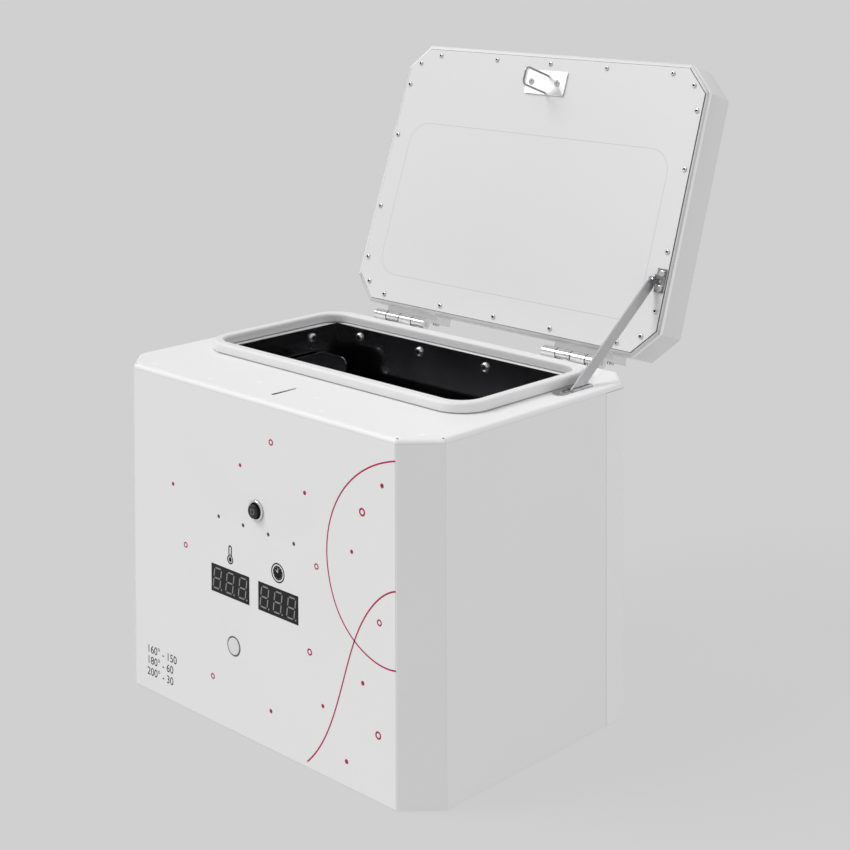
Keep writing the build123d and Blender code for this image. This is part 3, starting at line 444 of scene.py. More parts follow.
@dataclass(frozen=True)
class Wool:
    """Matted mineral fibre."""

    name: str
    colour: Colour = (0.5, 0.42, 0.22)

    def make(self) -> Material:
        """Build the material."""
        b = Board(self.name)
        fibre = b.noise(700.0, 6.0, (0.15, 0.3, 1))
        tuft = b.noise(60.0, 4.0)
        tone = b.mix(fibre * tuft, scaled(self.colour, 0.7), scaled(self.colour, 1.3))
        return b.finish(Base_Color=tone, Roughness=0.95, Normal=b.bump(fibre + tuft, 0.0012))


class Ink(Enum):
    """Colours of print, of small marks and of one painted shade."""

    BLACK = rgb(16, 15, 16)
    CRIMSON = rgb(184, 40, 90)
    WITNESS = grey(212)
    SEGMENT = grey(150)
    # Painted shade on the lid plate's edge.
    SEAM = grey(105)


class Hardware(Enum):
    """Kinds of screw head, each with its recess's share of the head's radius."""

    HEX_BUTTON = 0.5
    CROSS_PAN = 0.6


# Meshes


def placed(name: str, data: bpy.types.ID) -> Piece:
    """New object with that data, linked to the scene."""
    piece = bpy.data.objects.new(name, data)
    bpy.context.scene.collection.objects.link(piece)
    return piece


def settled(piece: Piece) -> bpy.types.Mesh:
    """Mesh of an object once its modifiers or its text are worked out."""
    bpy.context.view_layer.update()
    graph = bpy.context.evaluated_depsgraph_get()
    return bpy.data.meshes.new_from_object(piece.evaluated_get(graph))


def solid_object(name: str, bm: Mesh, smooth_angle: float | None) -> Piece:
    """Turn a bmesh into an object at the origin.

    Args:
        name: the piece's name.
        bm: the mesh, in metres; it is freed.
        smooth_angle: edges sharper than this many degrees stay hard; None leaves all flat.

    Returns:
        The new object.
    """
    mesh = bpy.data.meshes.new(name)
    bm.to_mesh(mesh)
    bm.free()
    if smooth_angle is not None:
        mesh.shade_smooth()
        mesh.set_sharp_from_angle(angle=math.radians(smooth_angle))
    return placed(name, mesh)


def merged_copy(node: str, name: str, smooth_angle: float) -> Piece:
    """Copy a CAD node with its corners joined, so that its curved faces shade smoothly."""
    bm = bmesh.new()
    bm.from_mesh(bpy.data.objects[node].data)
    bmesh.ops.remove_doubles(bm, verts=bm.verts, dist=2e-6)
    piece = solid_object(name, bm, smooth_angle)
    weigh = piece.modifiers.new("weigh", "WEIGHTED_NORMAL")
    weigh.mode = "FACE_AREA"
    weigh.weight = 100
    weigh.keep_sharp = True
    mesh = settled(piece)
    piece.modifiers.clear()
    piece.data = mesh
    mesh.name = name
    return piece


def paint(piece: Piece, material: Material) -> None:
    """Give the whole piece one material."""
    piece.data.materials.clear()
    piece.data.materials.append(material)


def loft(bm: Mesh, loops: Sequence[Sequence[bmesh.types.BMVert]], capped: bool = True) -> None:
    """Skin a stack of equal rings of vertices and, when capped, close both ends."""
    for low, high in zip(loops, loops[1:]):
        for i in range(len(low)):
            j = (i + 1) % len(low)
            bm.faces.new((low[i], low[j], high[j], high[i]))
    if capped:
        bm.faces.new(loops[-1])
        bm.faces.new(loops[0][::-1])


def prism(
    bm: Mesh, outline: Sequence[Point2], place: Place, low: float, high: float, hole: Sequence[Point2] = ()
) -> None:
    """Add a closed prism, with an optional hole joined to the outline point by point.

    Args:
        bm: the mesh to add to.
        outline: counter-clockwise points in millimetres.
        place: maps the outline's two values and a height to a point in metres.
        low: height of the far face, in millimetres.
        high: height of the near face, in millimetres.
        hole: inner outline with as many points as the outline.
    """
    levels = [(outline, low), (outline, high)] + ([(hole, high), (hole, low)] if hole else [])
    loops = [[bm.verts.new(place(u, v, h)) for u, v in points] for points, h in levels]
    loft(bm, loops + loops[:1] if hole else loops, not hole)


def circle(cx: float, cy: float, radius: float, count: int) -> list[Point2]:
    """Counter-clockwise points round a circle."""
    angles = (2 * math.pi * i / count for i in range(count))
    return [(cx + radius * math.cos(a), cy + radius * math.sin(a)) for a in angles]


def arc(cx: float, cy: float, radius: float, start: float, end: float, count: int) -> list[Point2]:
    """Points from one angle to another, in radians, with both ends."""
    angles = (start + (end - start) * i / (count - 1) for i in range(count))
    return [(cx + radius * math.cos(a), cy + radius * math.sin(a)) for a in angles]


def ribbon(line: Sequence[Point2], width: float) -> list[Point2]:
    """Outline of a band of constant width that follows an open line."""
    left, right = [], []
    for i, (x, y) in enumerate(line):
        ax, ay = line[max(i - 1, 0)]
        bx, by = line[min(i + 1, len(line) - 1)]
        run = math.hypot(bx - ax, by - ay)
        nx, ny = -(by - ay) / run * width / 2, (bx - ax) / run * width / 2
        left.append((x + nx, y + ny))
        right.append((x - nx, y - ny))
    return right + left[::-1]


def bezier(a: Point2, b: Point2, c: Point2, d: Point2, count: int = 28) -> list[Point2]:
    """Points along one cubic curve."""
    return [
        tuple(
            (1 - t) ** 3 * a[k] + 3 * (1 - t) ** 2 * t * b[k] + 3 * (1 - t) * t * t * c[k] + t**3 * d[k]
            for k in range(2)
        )
        for t in (i / count for i in range(count + 1))
    ]


def on_front(x: float, z: float, out: float) -> Vector:
    """Point on the front panel; out is how far it stands proud, in millimetres."""
    return at(x, FRONT_Y - out, z)


def band_strip(bm: Mesh, line: Sequence[Point2], width: float, low: float, high: float) -> None:
    """Add a printed band on the front as a row of closed boxes joined end to end."""
    edge = ribbon(line, width)
    count = len(line)
    right, left = edge[:count], edge[count:][::-1]
    loft(bm, [
        [bm.verts.new(on_front(*p, h)) for p, h in ((a, low), (b, low), (b, high), (a, high))]
        for a, b in zip(right, left)
    ])


class ScrewTree:
    """Geometry Nodes that set one screw head on every point of a carrier mesh."""

    turn: float = 6.28

    def __init__(self) -> None:
        """Build the node group once."""
        tree = bpy.data.node_groups.new("screw_rows", "GeometryNodeTree")
        tree.interface.new_socket("Points", in_out="INPUT", socket_type="NodeSocketGeometry")
        sockets = {
            "Screw": "NodeSocketObject",
            "Finish": "NodeSocketMaterial",
            "Turn": "NodeSocketFloat",
            "Seed": "NodeSocketInt",
        }
        self.ids = {
            name: tree.interface.new_socket(name, in_out="INPUT", socket_type=kind).identifier
            for name, kind in sockets.items()
        }
        tree.interface.new_socket("Heads", in_out="OUTPUT", socket_type="NodeSocketGeometry")
        start, info, align, normal, chance, spin, axis, euler, copies, real, dress, end = (
            tree.nodes.new(kind) for kind in (
                "NodeGroupInput", "GeometryNodeObjectInfo", "FunctionNodeAlignRotationToVector",
                "GeometryNodeInputNamedAttribute", "FunctionNodeRandomValue", "FunctionNodeRotateRotation",
                "ShaderNodeCombineXYZ", "FunctionNodeEulerToRotation", "GeometryNodeInstanceOnPoints",
                "GeometryNodeRealizeInstances", "GeometryNodeSetMaterial", "NodeGroupOutput",
            )
        )
        align.axis = "Z"
        normal.data_type = "FLOAT_VECTOR"
        normal.inputs["Name"].default_value = "out"
        chance.data_type = "FLOAT"
        spin.rotation_space = "LOCAL"
        for source, output, target, socket in (
            (start, "Screw", info, "Object"), (normal, 0, align, "Vector"), (start, "Turn", chance, 3),
            (start, "Seed", chance, "Seed"), (chance, 1, axis, "Z"), (axis, 0, euler, 0), (align, 0, spin, 0),
            (euler, 0, spin, 1), (start, "Points", copies, "Points"), (info, "Geometry", copies, "Instance"),
            (spin, 0, copies, "Rotation"), (copies, 0, real, 0), (real, 0, dress, "Geometry"),
            (start, "Finish", dress, "Material"), (dress, 0, end, 0),
        ):
            tree.links.new(source.outputs[output], target.inputs[socket])
        self.tree = tree

    @staticmethod
    def head(kind: Hardware, radius: float, height: float) -> Piece:
        """Mesh of one screw head standing on z = 0 with its recess.

        Args:
            kind: recess and crown of the head.
            radius: head radius in millimetres.
            height: head height in millimetres.

        Returns:
            The head, not linked to the scene.
        """
        bm = bmesh.new()
        steps, crown, edge_share, crown_end = 24, 5, 0.25, math.radians(58)
        underside, mouth_rise, pit_rise, pit_share = 0.4, 0.98, 0.3, 0.86
        rings = [(radius * underside, 0.0), (radius, 0.0)]
        for k in range(crown + 1):
            t = k / crown
            rise = edge_share + (1 - edge_share) * math.sin(t * math.pi / 2)
            rings.append((radius * math.cos(t * crown_end), height * rise))
        stack = [[(x, y, z) for x, y in circle(0.0, 0.0, r, steps)] for r, z in rings]
        mouth = ScrewTree._recess(kind, radius * kind.value, steps)
        for depth, scale in ((height * mouth_rise, 1.0), (height * pit_rise, pit_share)):
            stack.append([(x * scale, y * scale, depth) for x, y in mouth])
        loops = [[bm.verts.new(at(*p)) for p in ring] for ring in stack]
        deep = {v for loop in loops[-2:] for v in loop}
        loft(bm, loops)
        # Faces of the recess's pit are flagged, for the finish to paint them dark as shade.
        inner = bm.faces.layers.float.new("inner")
        for face in bm.faces:
            face[inner] = float(all(v in deep for v in face.verts))
        mesh = bpy.data.meshes.new("screw_head")
        bm.to_mesh(mesh)
        bm.free()
        mesh.shade_smooth()
        mesh.set_sharp_from_angle(angle=math.radians(38))
        return bpy.data.objects.new("screw_head", mesh)

    @staticmethod
    def _recess(kind: Hardware, radius: float, steps: int) -> list[Point2]:
        """Outline of the driver recess."""
        slot_turn, flank_turn, flank, root = 0.2, 0.5, 0.55, 0.36
        points = []
        for a in (2 * math.pi * i / steps for i in range(steps)):
            if kind is Hardware.HEX_BUTTON:
                r = radius * math.cos(math.pi / 6) / math.cos((a % (math.pi / 3)) - math.pi / 6)
            else:
                near = abs(((a + math.pi / 4) % (math.pi / 2)) - math.pi / 4)
                r = radius * (1.0 if near < slot_turn else flank if near < flank_turn else root)
            points.append((r * math.cos(a), r * math.sin(a)))
        return points

    def rows(
        self, name: str, spots: Sequence[tuple[Vector, Vector]], kind: Hardware, radius: float,
        height: float, finish: Material, seed: int,
    ) -> Piece:
        """Plain mesh of a group of screw heads.

        Args:
            name: the piece's name.
            spots: seat point and outward normal of each head, in metres.
            kind: recess of the heads.
            radius: head radius in millimetres.
            height: head height in millimetres.
            finish: material of the heads.
            seed: seed of the heads' turn.

        Returns:
            The finished object.
        """
        carrier = bpy.data.meshes.new(name + "_seats")
        carrier.from_pydata([tuple(p) for p, _ in spots], [], [])
        out = carrier.attributes.new("out", "FLOAT_VECTOR", "POINT")
        out.data.foreach_set("vector", [c for _, n in spots for c in n])
        holder = placed(name + "_seats", carrier)
        head = self.head(kind, radius, height)
        modifier = holder.modifiers.new("rows", "NODES")
        modifier.node_group = self.tree
        for key, value in (("Screw", head), ("Finish", finish), ("Turn", self.turn), ("Seed", seed)):
            modifier[self.ids[key]] = value
        mesh = settled(holder)
        bpy.data.objects.remove(holder)
        bpy.data.objects.remove(head)
        mesh.name = name
        return placed(name, mesh)


# Sub-assemblies


def made(finish: type, *values: object, **named: object) -> Material:
    """Dataclass field that holds the material of one finish, made from the finish's own fields."""
    return field(default_factory=lambda: finish(*values, **named).make())


@dataclass
class Finishes:
    """Every material of the object, built once."""

    enamel: Material = made(PowderCoat, "white_powder_coat", fold_lines=True)
    cover: Material = made(PowderCoat, "cover_powder_coat", (0.93, 0.93, 0.93))
    lid_enamel: Material = made(PowderCoat, "lid_powder_coat", (0.8, 0.8, 0.8), lid_rim=True)
    plate: Material = made(PowderCoat, "lid_plate_coat", (0.8, 0.8, 0.8), 0.3, 500.0, 0.00002)
    chamber: Material = made(PolishedSheet, "heated_polished_steel")
    tray: Material = made(PolishedSheet, "tray_steel", (0.3, 0.3, 0.31), 0.12)
    hinge: Material = made(
        BrightMetal, "polished_hinge_steel", (0.84, 0.84, 0.84), 0.12, banding=0.75, knuckles=True
    )
    screws: Material = made(BrightMetal, "plated_screws", (0.72, 0.72, 0.72), 0.2, (1, 1, 1), banding=0.85)
    stay: Material = made(BrightMetal, "stay_steel", (0.55, 0.55, 0.56), 0.3, (1, 0.05, 0.05), 0.2)
    striker: Material = made(BrightMetal, "striker_steel", (0.84, 0.84, 0.84), 0.4, dirt=0.05)
    wire: Material = made(BrightMetal, "striker_wire", (0.4, 0.4, 0.41), 0.15, banding=0.8)
    mottled: Material = made(BrightMetal, "mottled_stay_steel", (0.42, 0.42, 0.43), 0.16, dirt=0.9)
    sheet: Material = made(BrightMetal, "plated_sheet", (0.6, 0.61, 0.62), 0.35, (1, 1, 1), 0.2, 0.3)
    silicone: Material = made(Moulded, "white_silicone", (0.84, 0.84, 0.84), 0.45, 500.0, 0.00003)
    black: Material = made(Moulded, "black_plastic", (0.012, 0.012, 0.012), 0.35, specular=0.4)
    rubber: Material = made(Moulded, "foot_rubber", (0.02, 0.02, 0.02), 0.8, 900.0, 0.0001)
    white: Material = made(Moulded, "white_plastic", (0.82, 0.82, 0.82), 0.4)
    grey: Material = made(Moulded, "grey_plastic", (0.16, 0.16, 0.16), 0.4)
    lens: Material = made(Moulded, "lamp_lens", (0.05, 0.05, 0.05), 0.12, coat=0.6)
    window: Material = made(Moulded, "display_window", (0.006, 0.006, 0.007), 0.2, 300.0, 0.000004, 0.0, 0.3)
    board: Material = made(Moulded, "circuit_board", (0.02, 0.13, 0.05), 0.3, coat=0.4)
    mica: Material = made(Moulded, "mica_panel", (0.4, 0.33, 0.22), 0.5, 300.0, 0.0001)
    wool: Material = made(Wool, "mineral_wool")

    def ink(self, ink: Ink) -> Material:
        """Material of one print colour, or of the painted shade on the plate's edge."""
        return Moulded("print_" + ink.name.lower(), ink.value, 0.5, 800.0, 0.000004, specular=0.2).make()


@dataclass
class Builder:
    """What every sub-assembly shares."""

    frame: dict
    finishes: Finishes
    screws: ScrewTree
    slots: dict[str, str]

    def dress(self, node: str, material: Material) -> None:
        """Give a CAD node a finish."""
        paint(self.frame["nodes"][node], material)
        LOG.info("dressed %s", node)

    def smooth(self, node: str, material: Material, body: str, angle: float = 32.0) -> Piece:
        """Replace a CAD node by its own shape with smooth curved faces."""
        piece = merged_copy(node, node + "_shown", angle)
        paint(piece, material)
        self.keep(piece, body, self.slots[node], node)
        return piece

    def keep(self, piece: Piece, body: str, slot: str, *nodes: str) -> None:
        """Hand a finished piece to the frame.

        Args:
            piece: the finished object.
            body: the CAD body it rides on.
            slot: the record's material slot; not used.
            nodes: the CAD nodes it stands for.
        """
        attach(piece, body)
        if nodes:
            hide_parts(*nodes)
        LOG.info("built %s with %d faces", piece.name, len(piece.data.polygons))

    def mark(self, name: str, bm: Mesh, ink: Ink, body: str = "base", slot: str = "black_plastic") -> None:
        """Close a group of print or small marks and hand it to the frame."""
        bmesh.ops.recalc_face_normals(bm, faces=bm.faces)
        piece = solid_object(name, bm, None)
        paint(piece, self.finishes.ink(ink))
        self.keep(piece, body, slot)


@dataclass
class Casing:
    """Shell, rear cover, base and what they hold inside."""

    b: Builder

    def build(self) -> None:
        """Dress the fixed sheet parts and the inner pieces."""
        f = self.b.finishes
        self.b.smooth("main_shell", f.enamel, "base", 40.0)
        self.b.smooth("rear_cover", f.cover, "base", 40.0)
        inner = {
            "rear_rail": f.lid_enamel, "base_plate": f.sheet, "chamber_supports": f.sheet,
            "lock_housing": f.grey, "lock_solenoid": f.grey, "foot_pads": f.rubber,
            "chamber_insulation": f.wool, "heater_panels": f.mica, "temperature_sensor": f.screws,
            "overheat_cutout": f.screws, "control_board": f.board, "board_standoffs": f.screws,
            "transformer": f.sheet, "heater_relay": f.black, "terminal_block": f.white,
            "mains_inlet": f.black, "mains_inlet_screws": f.screws, "rear_cover_screws": f.screws,
            "power_switch_nut": f.screws,
        }
        for node, material in inner.items():
            self.b.dress(node, material)
        self._marks()

    def _marks(self) -> None:
        """Slight weld marks on the top, where studs are welded below."""
        spots = [(43, -118.5), (-43, -118.5), (-178, -145), (-88, -144), (79, -145), (201, -134)]
        profile = [(0.0, 2.6), (0.12, 1.5), (0.16, 0.4)]
        bm = bmesh.new()
        for x, y in spots:
            loft(bm, [
                [bm.verts.new(at(u, v, CASING_TOP + h)) for u, v in circle(x, y, r, 16)] for h, r in profile
            ])
        piece = solid_object("top_weld_marks", bm, 60.0)
        paint(piece, self.b.finishes.lid_enamel)
        self.b.keep(piece, "base", "white_enamel")


@dataclass
class FrontPanel:
    """Controls and print on the front."""

    b: Builder
    ink_low: float = -0.02
    ink_high: float = 0.07
    crimson_line: float = 1.5
    cap_proud: float = 2.4
    cap_skirt: float = -163.0
    cap_face: float = 3.2
    display_x: Point2 = (-38.2, 33.2)
    digit_size: Point2 = (10.4, 20.3)
    digit_pitch: float = 19.4
    digit_z: float = 146.5
    digit_out: float = -0.36
    digit_skin: float = 0.03
    digit_shift: float = -1.0
    point_shift: float = 2.6
    point_radius: float = 0.95
    text_size: float = 11.6
    text_x: float = -173.5
    text_drop: float = 2.6

    def build(self) -> None:
        """Build all of the front."""
        f = self.b.finishes
        self.b.smooth("power_switch", f.hinge, "base")
        cap = self.b.smooth("power_button", f.black, "power_button")
        for vertex in cap.data.vertices:
            if vertex.co.y < self.cap_skirt * MM:
                vertex.co.y -= self.cap_proud * MM
        self.b.smooth("program_button", f.white, "program_button")
        self.b.smooth("program_switch", f.grey, "base")
        self.b.smooth("status_leds", f.lens, "base")
        for node in ("temperature_display", "time_display"):
            self.b.dress(node, f.window)
        self._digits()
        self._icons()
        self._numbers()
        self._artwork()
        self._power_mark()

    def _stamp(self, bm: Mesh, outline: Sequence[Point2], hole: Sequence[Point2] = ()) -> None:
        """Add one printed shape on the front."""
        prism(bm, outline, on_front, self.ink_low, self.ink_high, hole)

    @staticmethod
    def _segment(start: Point2, end: Point2, gap: float = 0.9, r: float = 0.675) -> list[Point2]:
        """Outline of a display segment, gap short of both corners and r to each side."""
        run = math.dist(start, end)
        du, dv = (end[0] - start[0]) / run, (end[1] - start[1]) / run
        a = (start[0] + du * gap, start[1] + dv * gap)
        b = (end[0] - du * gap, end[1] - dv * gap)
        return [
            a,
            (a[0] + du * r + dv * r, a[1] + dv * r - du * r),
            (b[0] - du * r + dv * r, b[1] - dv * r - du * r),
            b,
            (b[0] - du * r - dv * r, b[1] - dv * r + du * r),
            (a[0] + du * r - dv * r, a[1] + dv * r + du * r),
        ]

    def _digits(self) -> None:
        """Unlit seven-segment digits behind the display windows."""
        bm = bmesh.new()
        w, h = (size / 2 for size in self.digit_size)
        lean = math.tan(math.radians(8))
        spans = [
            ((-w, h), (w, h)), ((-w, 0), (w, 0)), ((-w, -h), (w, -h)),
            ((-w, h), (-w, 0)), ((w, h), (w, 0)), ((-w, 0), (-w, -h)), ((w, 0), (w, -h)),
        ]
        point = circle(w + self.point_shift, -h, self.point_radius, 12)
        shapes = [*(self._segment(*span) for span in spans), point]
        for cx in (x + k * self.digit_pitch + self.digit_shift for x in self.display_x for k in (-1, 0, 1)):

            def lay(u: float, v: float, out: float, cx: float = cx) -> Vector:
                """Lean the digit."""
                return on_front(cx + u + v * lean, self.digit_z + v, out)

            for shape in shapes:
                prism(bm, shape, lay, self.digit_out - self.digit_skin, self.digit_out)
        self.b.mark("display_segments", bm, Ink.SEGMENT, slot="display_window")

    def _icons(self) -> None:
        """Thermometer over one display, clock over the other."""
        bm = bmesh.new()
        x, bulb, top, column, half = -37.9, 170.6, 182.3, 176.5, 0.5

        def neck(radius: float, tube: float) -> list[Point2]:
            """Outline of a bulb with a tube on it."""
            start = math.asin(tube / radius)
            ball = arc(x, bulb, radius, -math.pi * 1.5 + start, math.pi * 0.5 - start, 20)
            return ball + arc(x, top, tube, 0.0, math.pi, 20)

        self._stamp(bm, neck(4.6, 2.6), neck(3.2, 1.15))
        self._stamp(bm, circle(x, bulb, 2.3, 20))
        self._stamp(bm, [(x - half, bulb), (x + half, bulb), (x + half, column), (x - half, column)])
        x, z, tick = 33.2, 175.6, 5.8
        self._stamp(bm, circle(x, z, 9.6, 48), circle(x, z, 8.3, 48))
        self._stamp(bm, circle(x, z, 7.0, 40))
        self.b.mark("panel_icons", bm, Ink.BLACK)
        bm = bmesh.new()
        shapes = [ribbon([(x, z), end], 0.8) for end in ((x, z + 4.6), (x - 3.1, z + 2.6))]
        for a in (k * math.pi / 6 for k in range(12)):
            shapes.append(circle(x + tick * math.sin(a), z + tick * math.cos(a), 0.35, 8))
        for shape in shapes:
            prism(bm, shape, on_front, self.ink_high - 0.01, self.ink_high + 0.03)
        self.b.mark("clock_hands", bm, Ink.WITNESS)

    def _numbers(self) -> None:
        """Plain mode numbers: temperature and minutes."""
        bm = bmesh.new()
        for text, z in (("160° - 150", 42.6), ("180° - 60", 31.0), ("200° - 30", 19.2)):
            curve = bpy.data.curves.new("mode_text", "FONT")
            curve.body = text
            curve.size = self.text_size
            holder = placed("mode_text", curve)
            flat = settled(holder)
            bpy.data.objects.remove(holder)
            letters = bmesh.new()
            letters.from_mesh(flat)
            bmesh.ops.remove_doubles(letters, verts=letters.verts, dist=0.001)
            grown = bmesh.ops.extrude_face_region(letters, geom=letters.faces[:])
            for v in (g for g in grown["geom"] if isinstance(g, bmesh.types.BMVert)):
                v.co.z = 1.0
            for v in letters.verts:
                out = self.ink_high if v.co.z > 0.5 else self.ink_low
                v.co = on_front(self.text_x + v.co.x, z + v.co.y - self.text_drop, out)
            temporary = bpy.data.meshes.new("mode_letters")
            letters.to_mesh(temporary)
            letters.free()
            bm.from_mesh(temporary)
            bpy.data.meshes.remove(temporary)
        self.b.mark("mode_numbers", bm, Ink.BLACK)

    def _artwork(self) -> None:
        """Plain crimson sweeps with scattered rings and dots."""
        bm = bmesh.new()
        sweeps = [
            bezier((193.0, 318.0), (120.0, 300.0), (86.0, 236.0), (110.0, 176.0))
            + bezier((110.0, 176.0), (126.0, 136.0), (168.0, 122.0), (193.0, 128.0))[1:],
            bezier((74.0, 6.0), (112.0, 40.0), (120.0, 96.0), (140.0, 142.0))
            + bezier((140.0, 142.0), (156.0, 178.0), (178.0, 196.0), (193.0, 200.0))[1:],
        ]
        for line in sweeps:
            band_strip(bm, line, self.crimson_line, self.ink_low, self.ink_high)
        rings = [(24, 300, 3.2), (150, 262, 4.0), (88, 196, 3.0), (172, 166, 3.2), (-108, 168, 3.0),
                 (78, 112, 3.4), (170, 62, 3.8), (-66, 46, 3.0)]
        for x, z, r in rings:
            self._stamp(bm, circle(x, z, r, 24), circle(x, z, r * 0.55, 24))
        dots = [(176, 292, 2.3), (72, 262, 2.1), (136, 222, 2.0), (-128, 226, 2.0), (150, 104, 2.2),
                (96, 66, 2.0), (22, 38, 2.1), (128, 24, 2.3), (-22, 268, 1.9)]
        for x, z, r in dots:
            self._stamp(bm, circle(x, z, r, 16))
        self.b.mark("panel_artwork", bm, Ink.CRIMSON)

    def _power_mark(self) -> None:
        """Ring and stroke on the power button's face."""
        bm = bmesh.new()
        cx, cz, radius, opening, width = 2.2, 229.0, 2.7, 0.55, 0.6

        def lay(x: float, z: float, out: float) -> Vector:
            """Place on the button's face."""
            return on_front(x, z, out + self.cap_face + self.cap_proud)

        line = arc(cx, cz, radius, math.pi / 2 - opening, opening - math.pi * 1.5, 21)
        edge = ribbon(line, width)
        shapes = [[edge[i], edge[i + 1], edge[-2 - i], edge[-1 - i]] for i in range(len(line) - 1)]
        shapes.append(ribbon([(cx, cz + 0.8), (cx, cz + 3.6)], width))
        for shape in shapes:
            prism(bm, shape, lay, MARK_LOW, MARK_HIGH)
        self.b.mark("power_mark", bm, Ink.SEGMENT, "power_button")


@dataclass
class Chamber:
    """Polished chamber, its screws, the gasket and the instrument tray."""

    b: Builder
    rear_x: tuple[float, ...] = (-138.8, -44.6, 52.7, 148.5)
    side_y: Point2 = (75.7, -18.0)
    screw_z: float = 326.3
    wall_x: float = 177.0
    wall_y: Point2 = (114.0, -58.0)
    joint_x: Point2 = (19.85, 20.15)
    tray_half: float = 172.0
    tray_y: Point2 = (-52.0, 87.0)
    tray_z: Point2 = (262.0, 309.0)
    tray_wall: float = 1.4
    notch_half: float = 132.0
    notch_depth: float = 26.0
    notch_radius: float = 9.0

    def build(self) -> None:
        """Build the chamber."""
        f = self.b.finishes
        self.b.dress("chamber", f.chamber)
        self.b.smooth("chamber_gasket", f.silicone, "base", 50.0)
        spots = []
        for y, out in zip(self.wall_y, (-1, 1)):
            spots += [(at(x, y, self.screw_z), Vector((0, out, 0))) for x in self.rear_x]
        for x, out in ((self.wall_x, -1), (-self.wall_x, 1)):
            spots += [(at(x, y, self.screw_z), Vector((out, 0, 0))) for y in self.side_y]
        heads = self.b.screws.rows("chamber_screw_heads", spots, Hardware.CROSS_PAN, 5.2, 3.2, f.screws, 7)
        self.b.keep(heads, "base", "plated_hardware", "chamber_screws")
        self._tray()
        self._joint()

    def _joint(self) -> None:
        """Fine dark line where the gasket's two ends meet."""
        bm = bmesh.new()
        outline = [
            (127.9, 338.6), (127.98, 343.6), (126.2, 347.4), (122.0, 348.85), (118.0, 347.6), (116.4, 344.4),
            (117.2, 344.4), (118.6, 346.8), (122.0, 347.8), (125.6, 346.5), (127.0, 343.3), (126.9, 338.6),
        ]
        prism(bm, outline, lambda y, z, x: at(x, y, z), *self.joint_x)
        self.b.mark("gasket_joint", bm, Ink.SEGMENT, slot="white_silicone")

    def _tray(self) -> None:
        """Instrument tray standing in the chamber, its long walls cut down between the corners."""
        bm = bmesh.new()
        half, notch, wall, r = self.tray_half, self.notch_half, self.tray_wall, self.notch_radius
        (front, rear), (low, top) = self.tray_y, self.tray_z
        floor = top - self.notch_depth

        def turn(x: float, z: float, start: float, end: float) -> list[Point2]:
            """Quarter turn of the notch's corner, in degrees."""
            return arc(x, z, r, math.radians(start), math.radians(end), 7)

        outline = [(-half, low), (half, low), (half, top)]
        outline += turn(notch + r, top - r, 90, 180) + turn(notch - r, floor + r, 0, -90)
        outline += turn(-notch + r, floor + r, 270, 180) + turn(-notch - r, top - r, 0, 90)
        outline += [(-half, top)]
        for y in (front, rear - wall):
            prism(bm, outline, lambda x, z, h: at(x, -h, z), -y - wall, -y)
        side = [(front, low), (rear, low), (rear, top), (front, top)]
        for x in (-half, half - wall):
            prism(bm, side, lambda y, z, h: at(h, y, z), x, x + wall)
        base = [(-half, front), (half, front), (half, rear), (-half, rear)]
        prism(bm, base, at, low, low + wall)
        piece = solid_object("instrument_tray", bm, 40.0)
        paint(piece, self.b.finishes.tray)
        self.b.keep(piece, "base", "polished_steel")


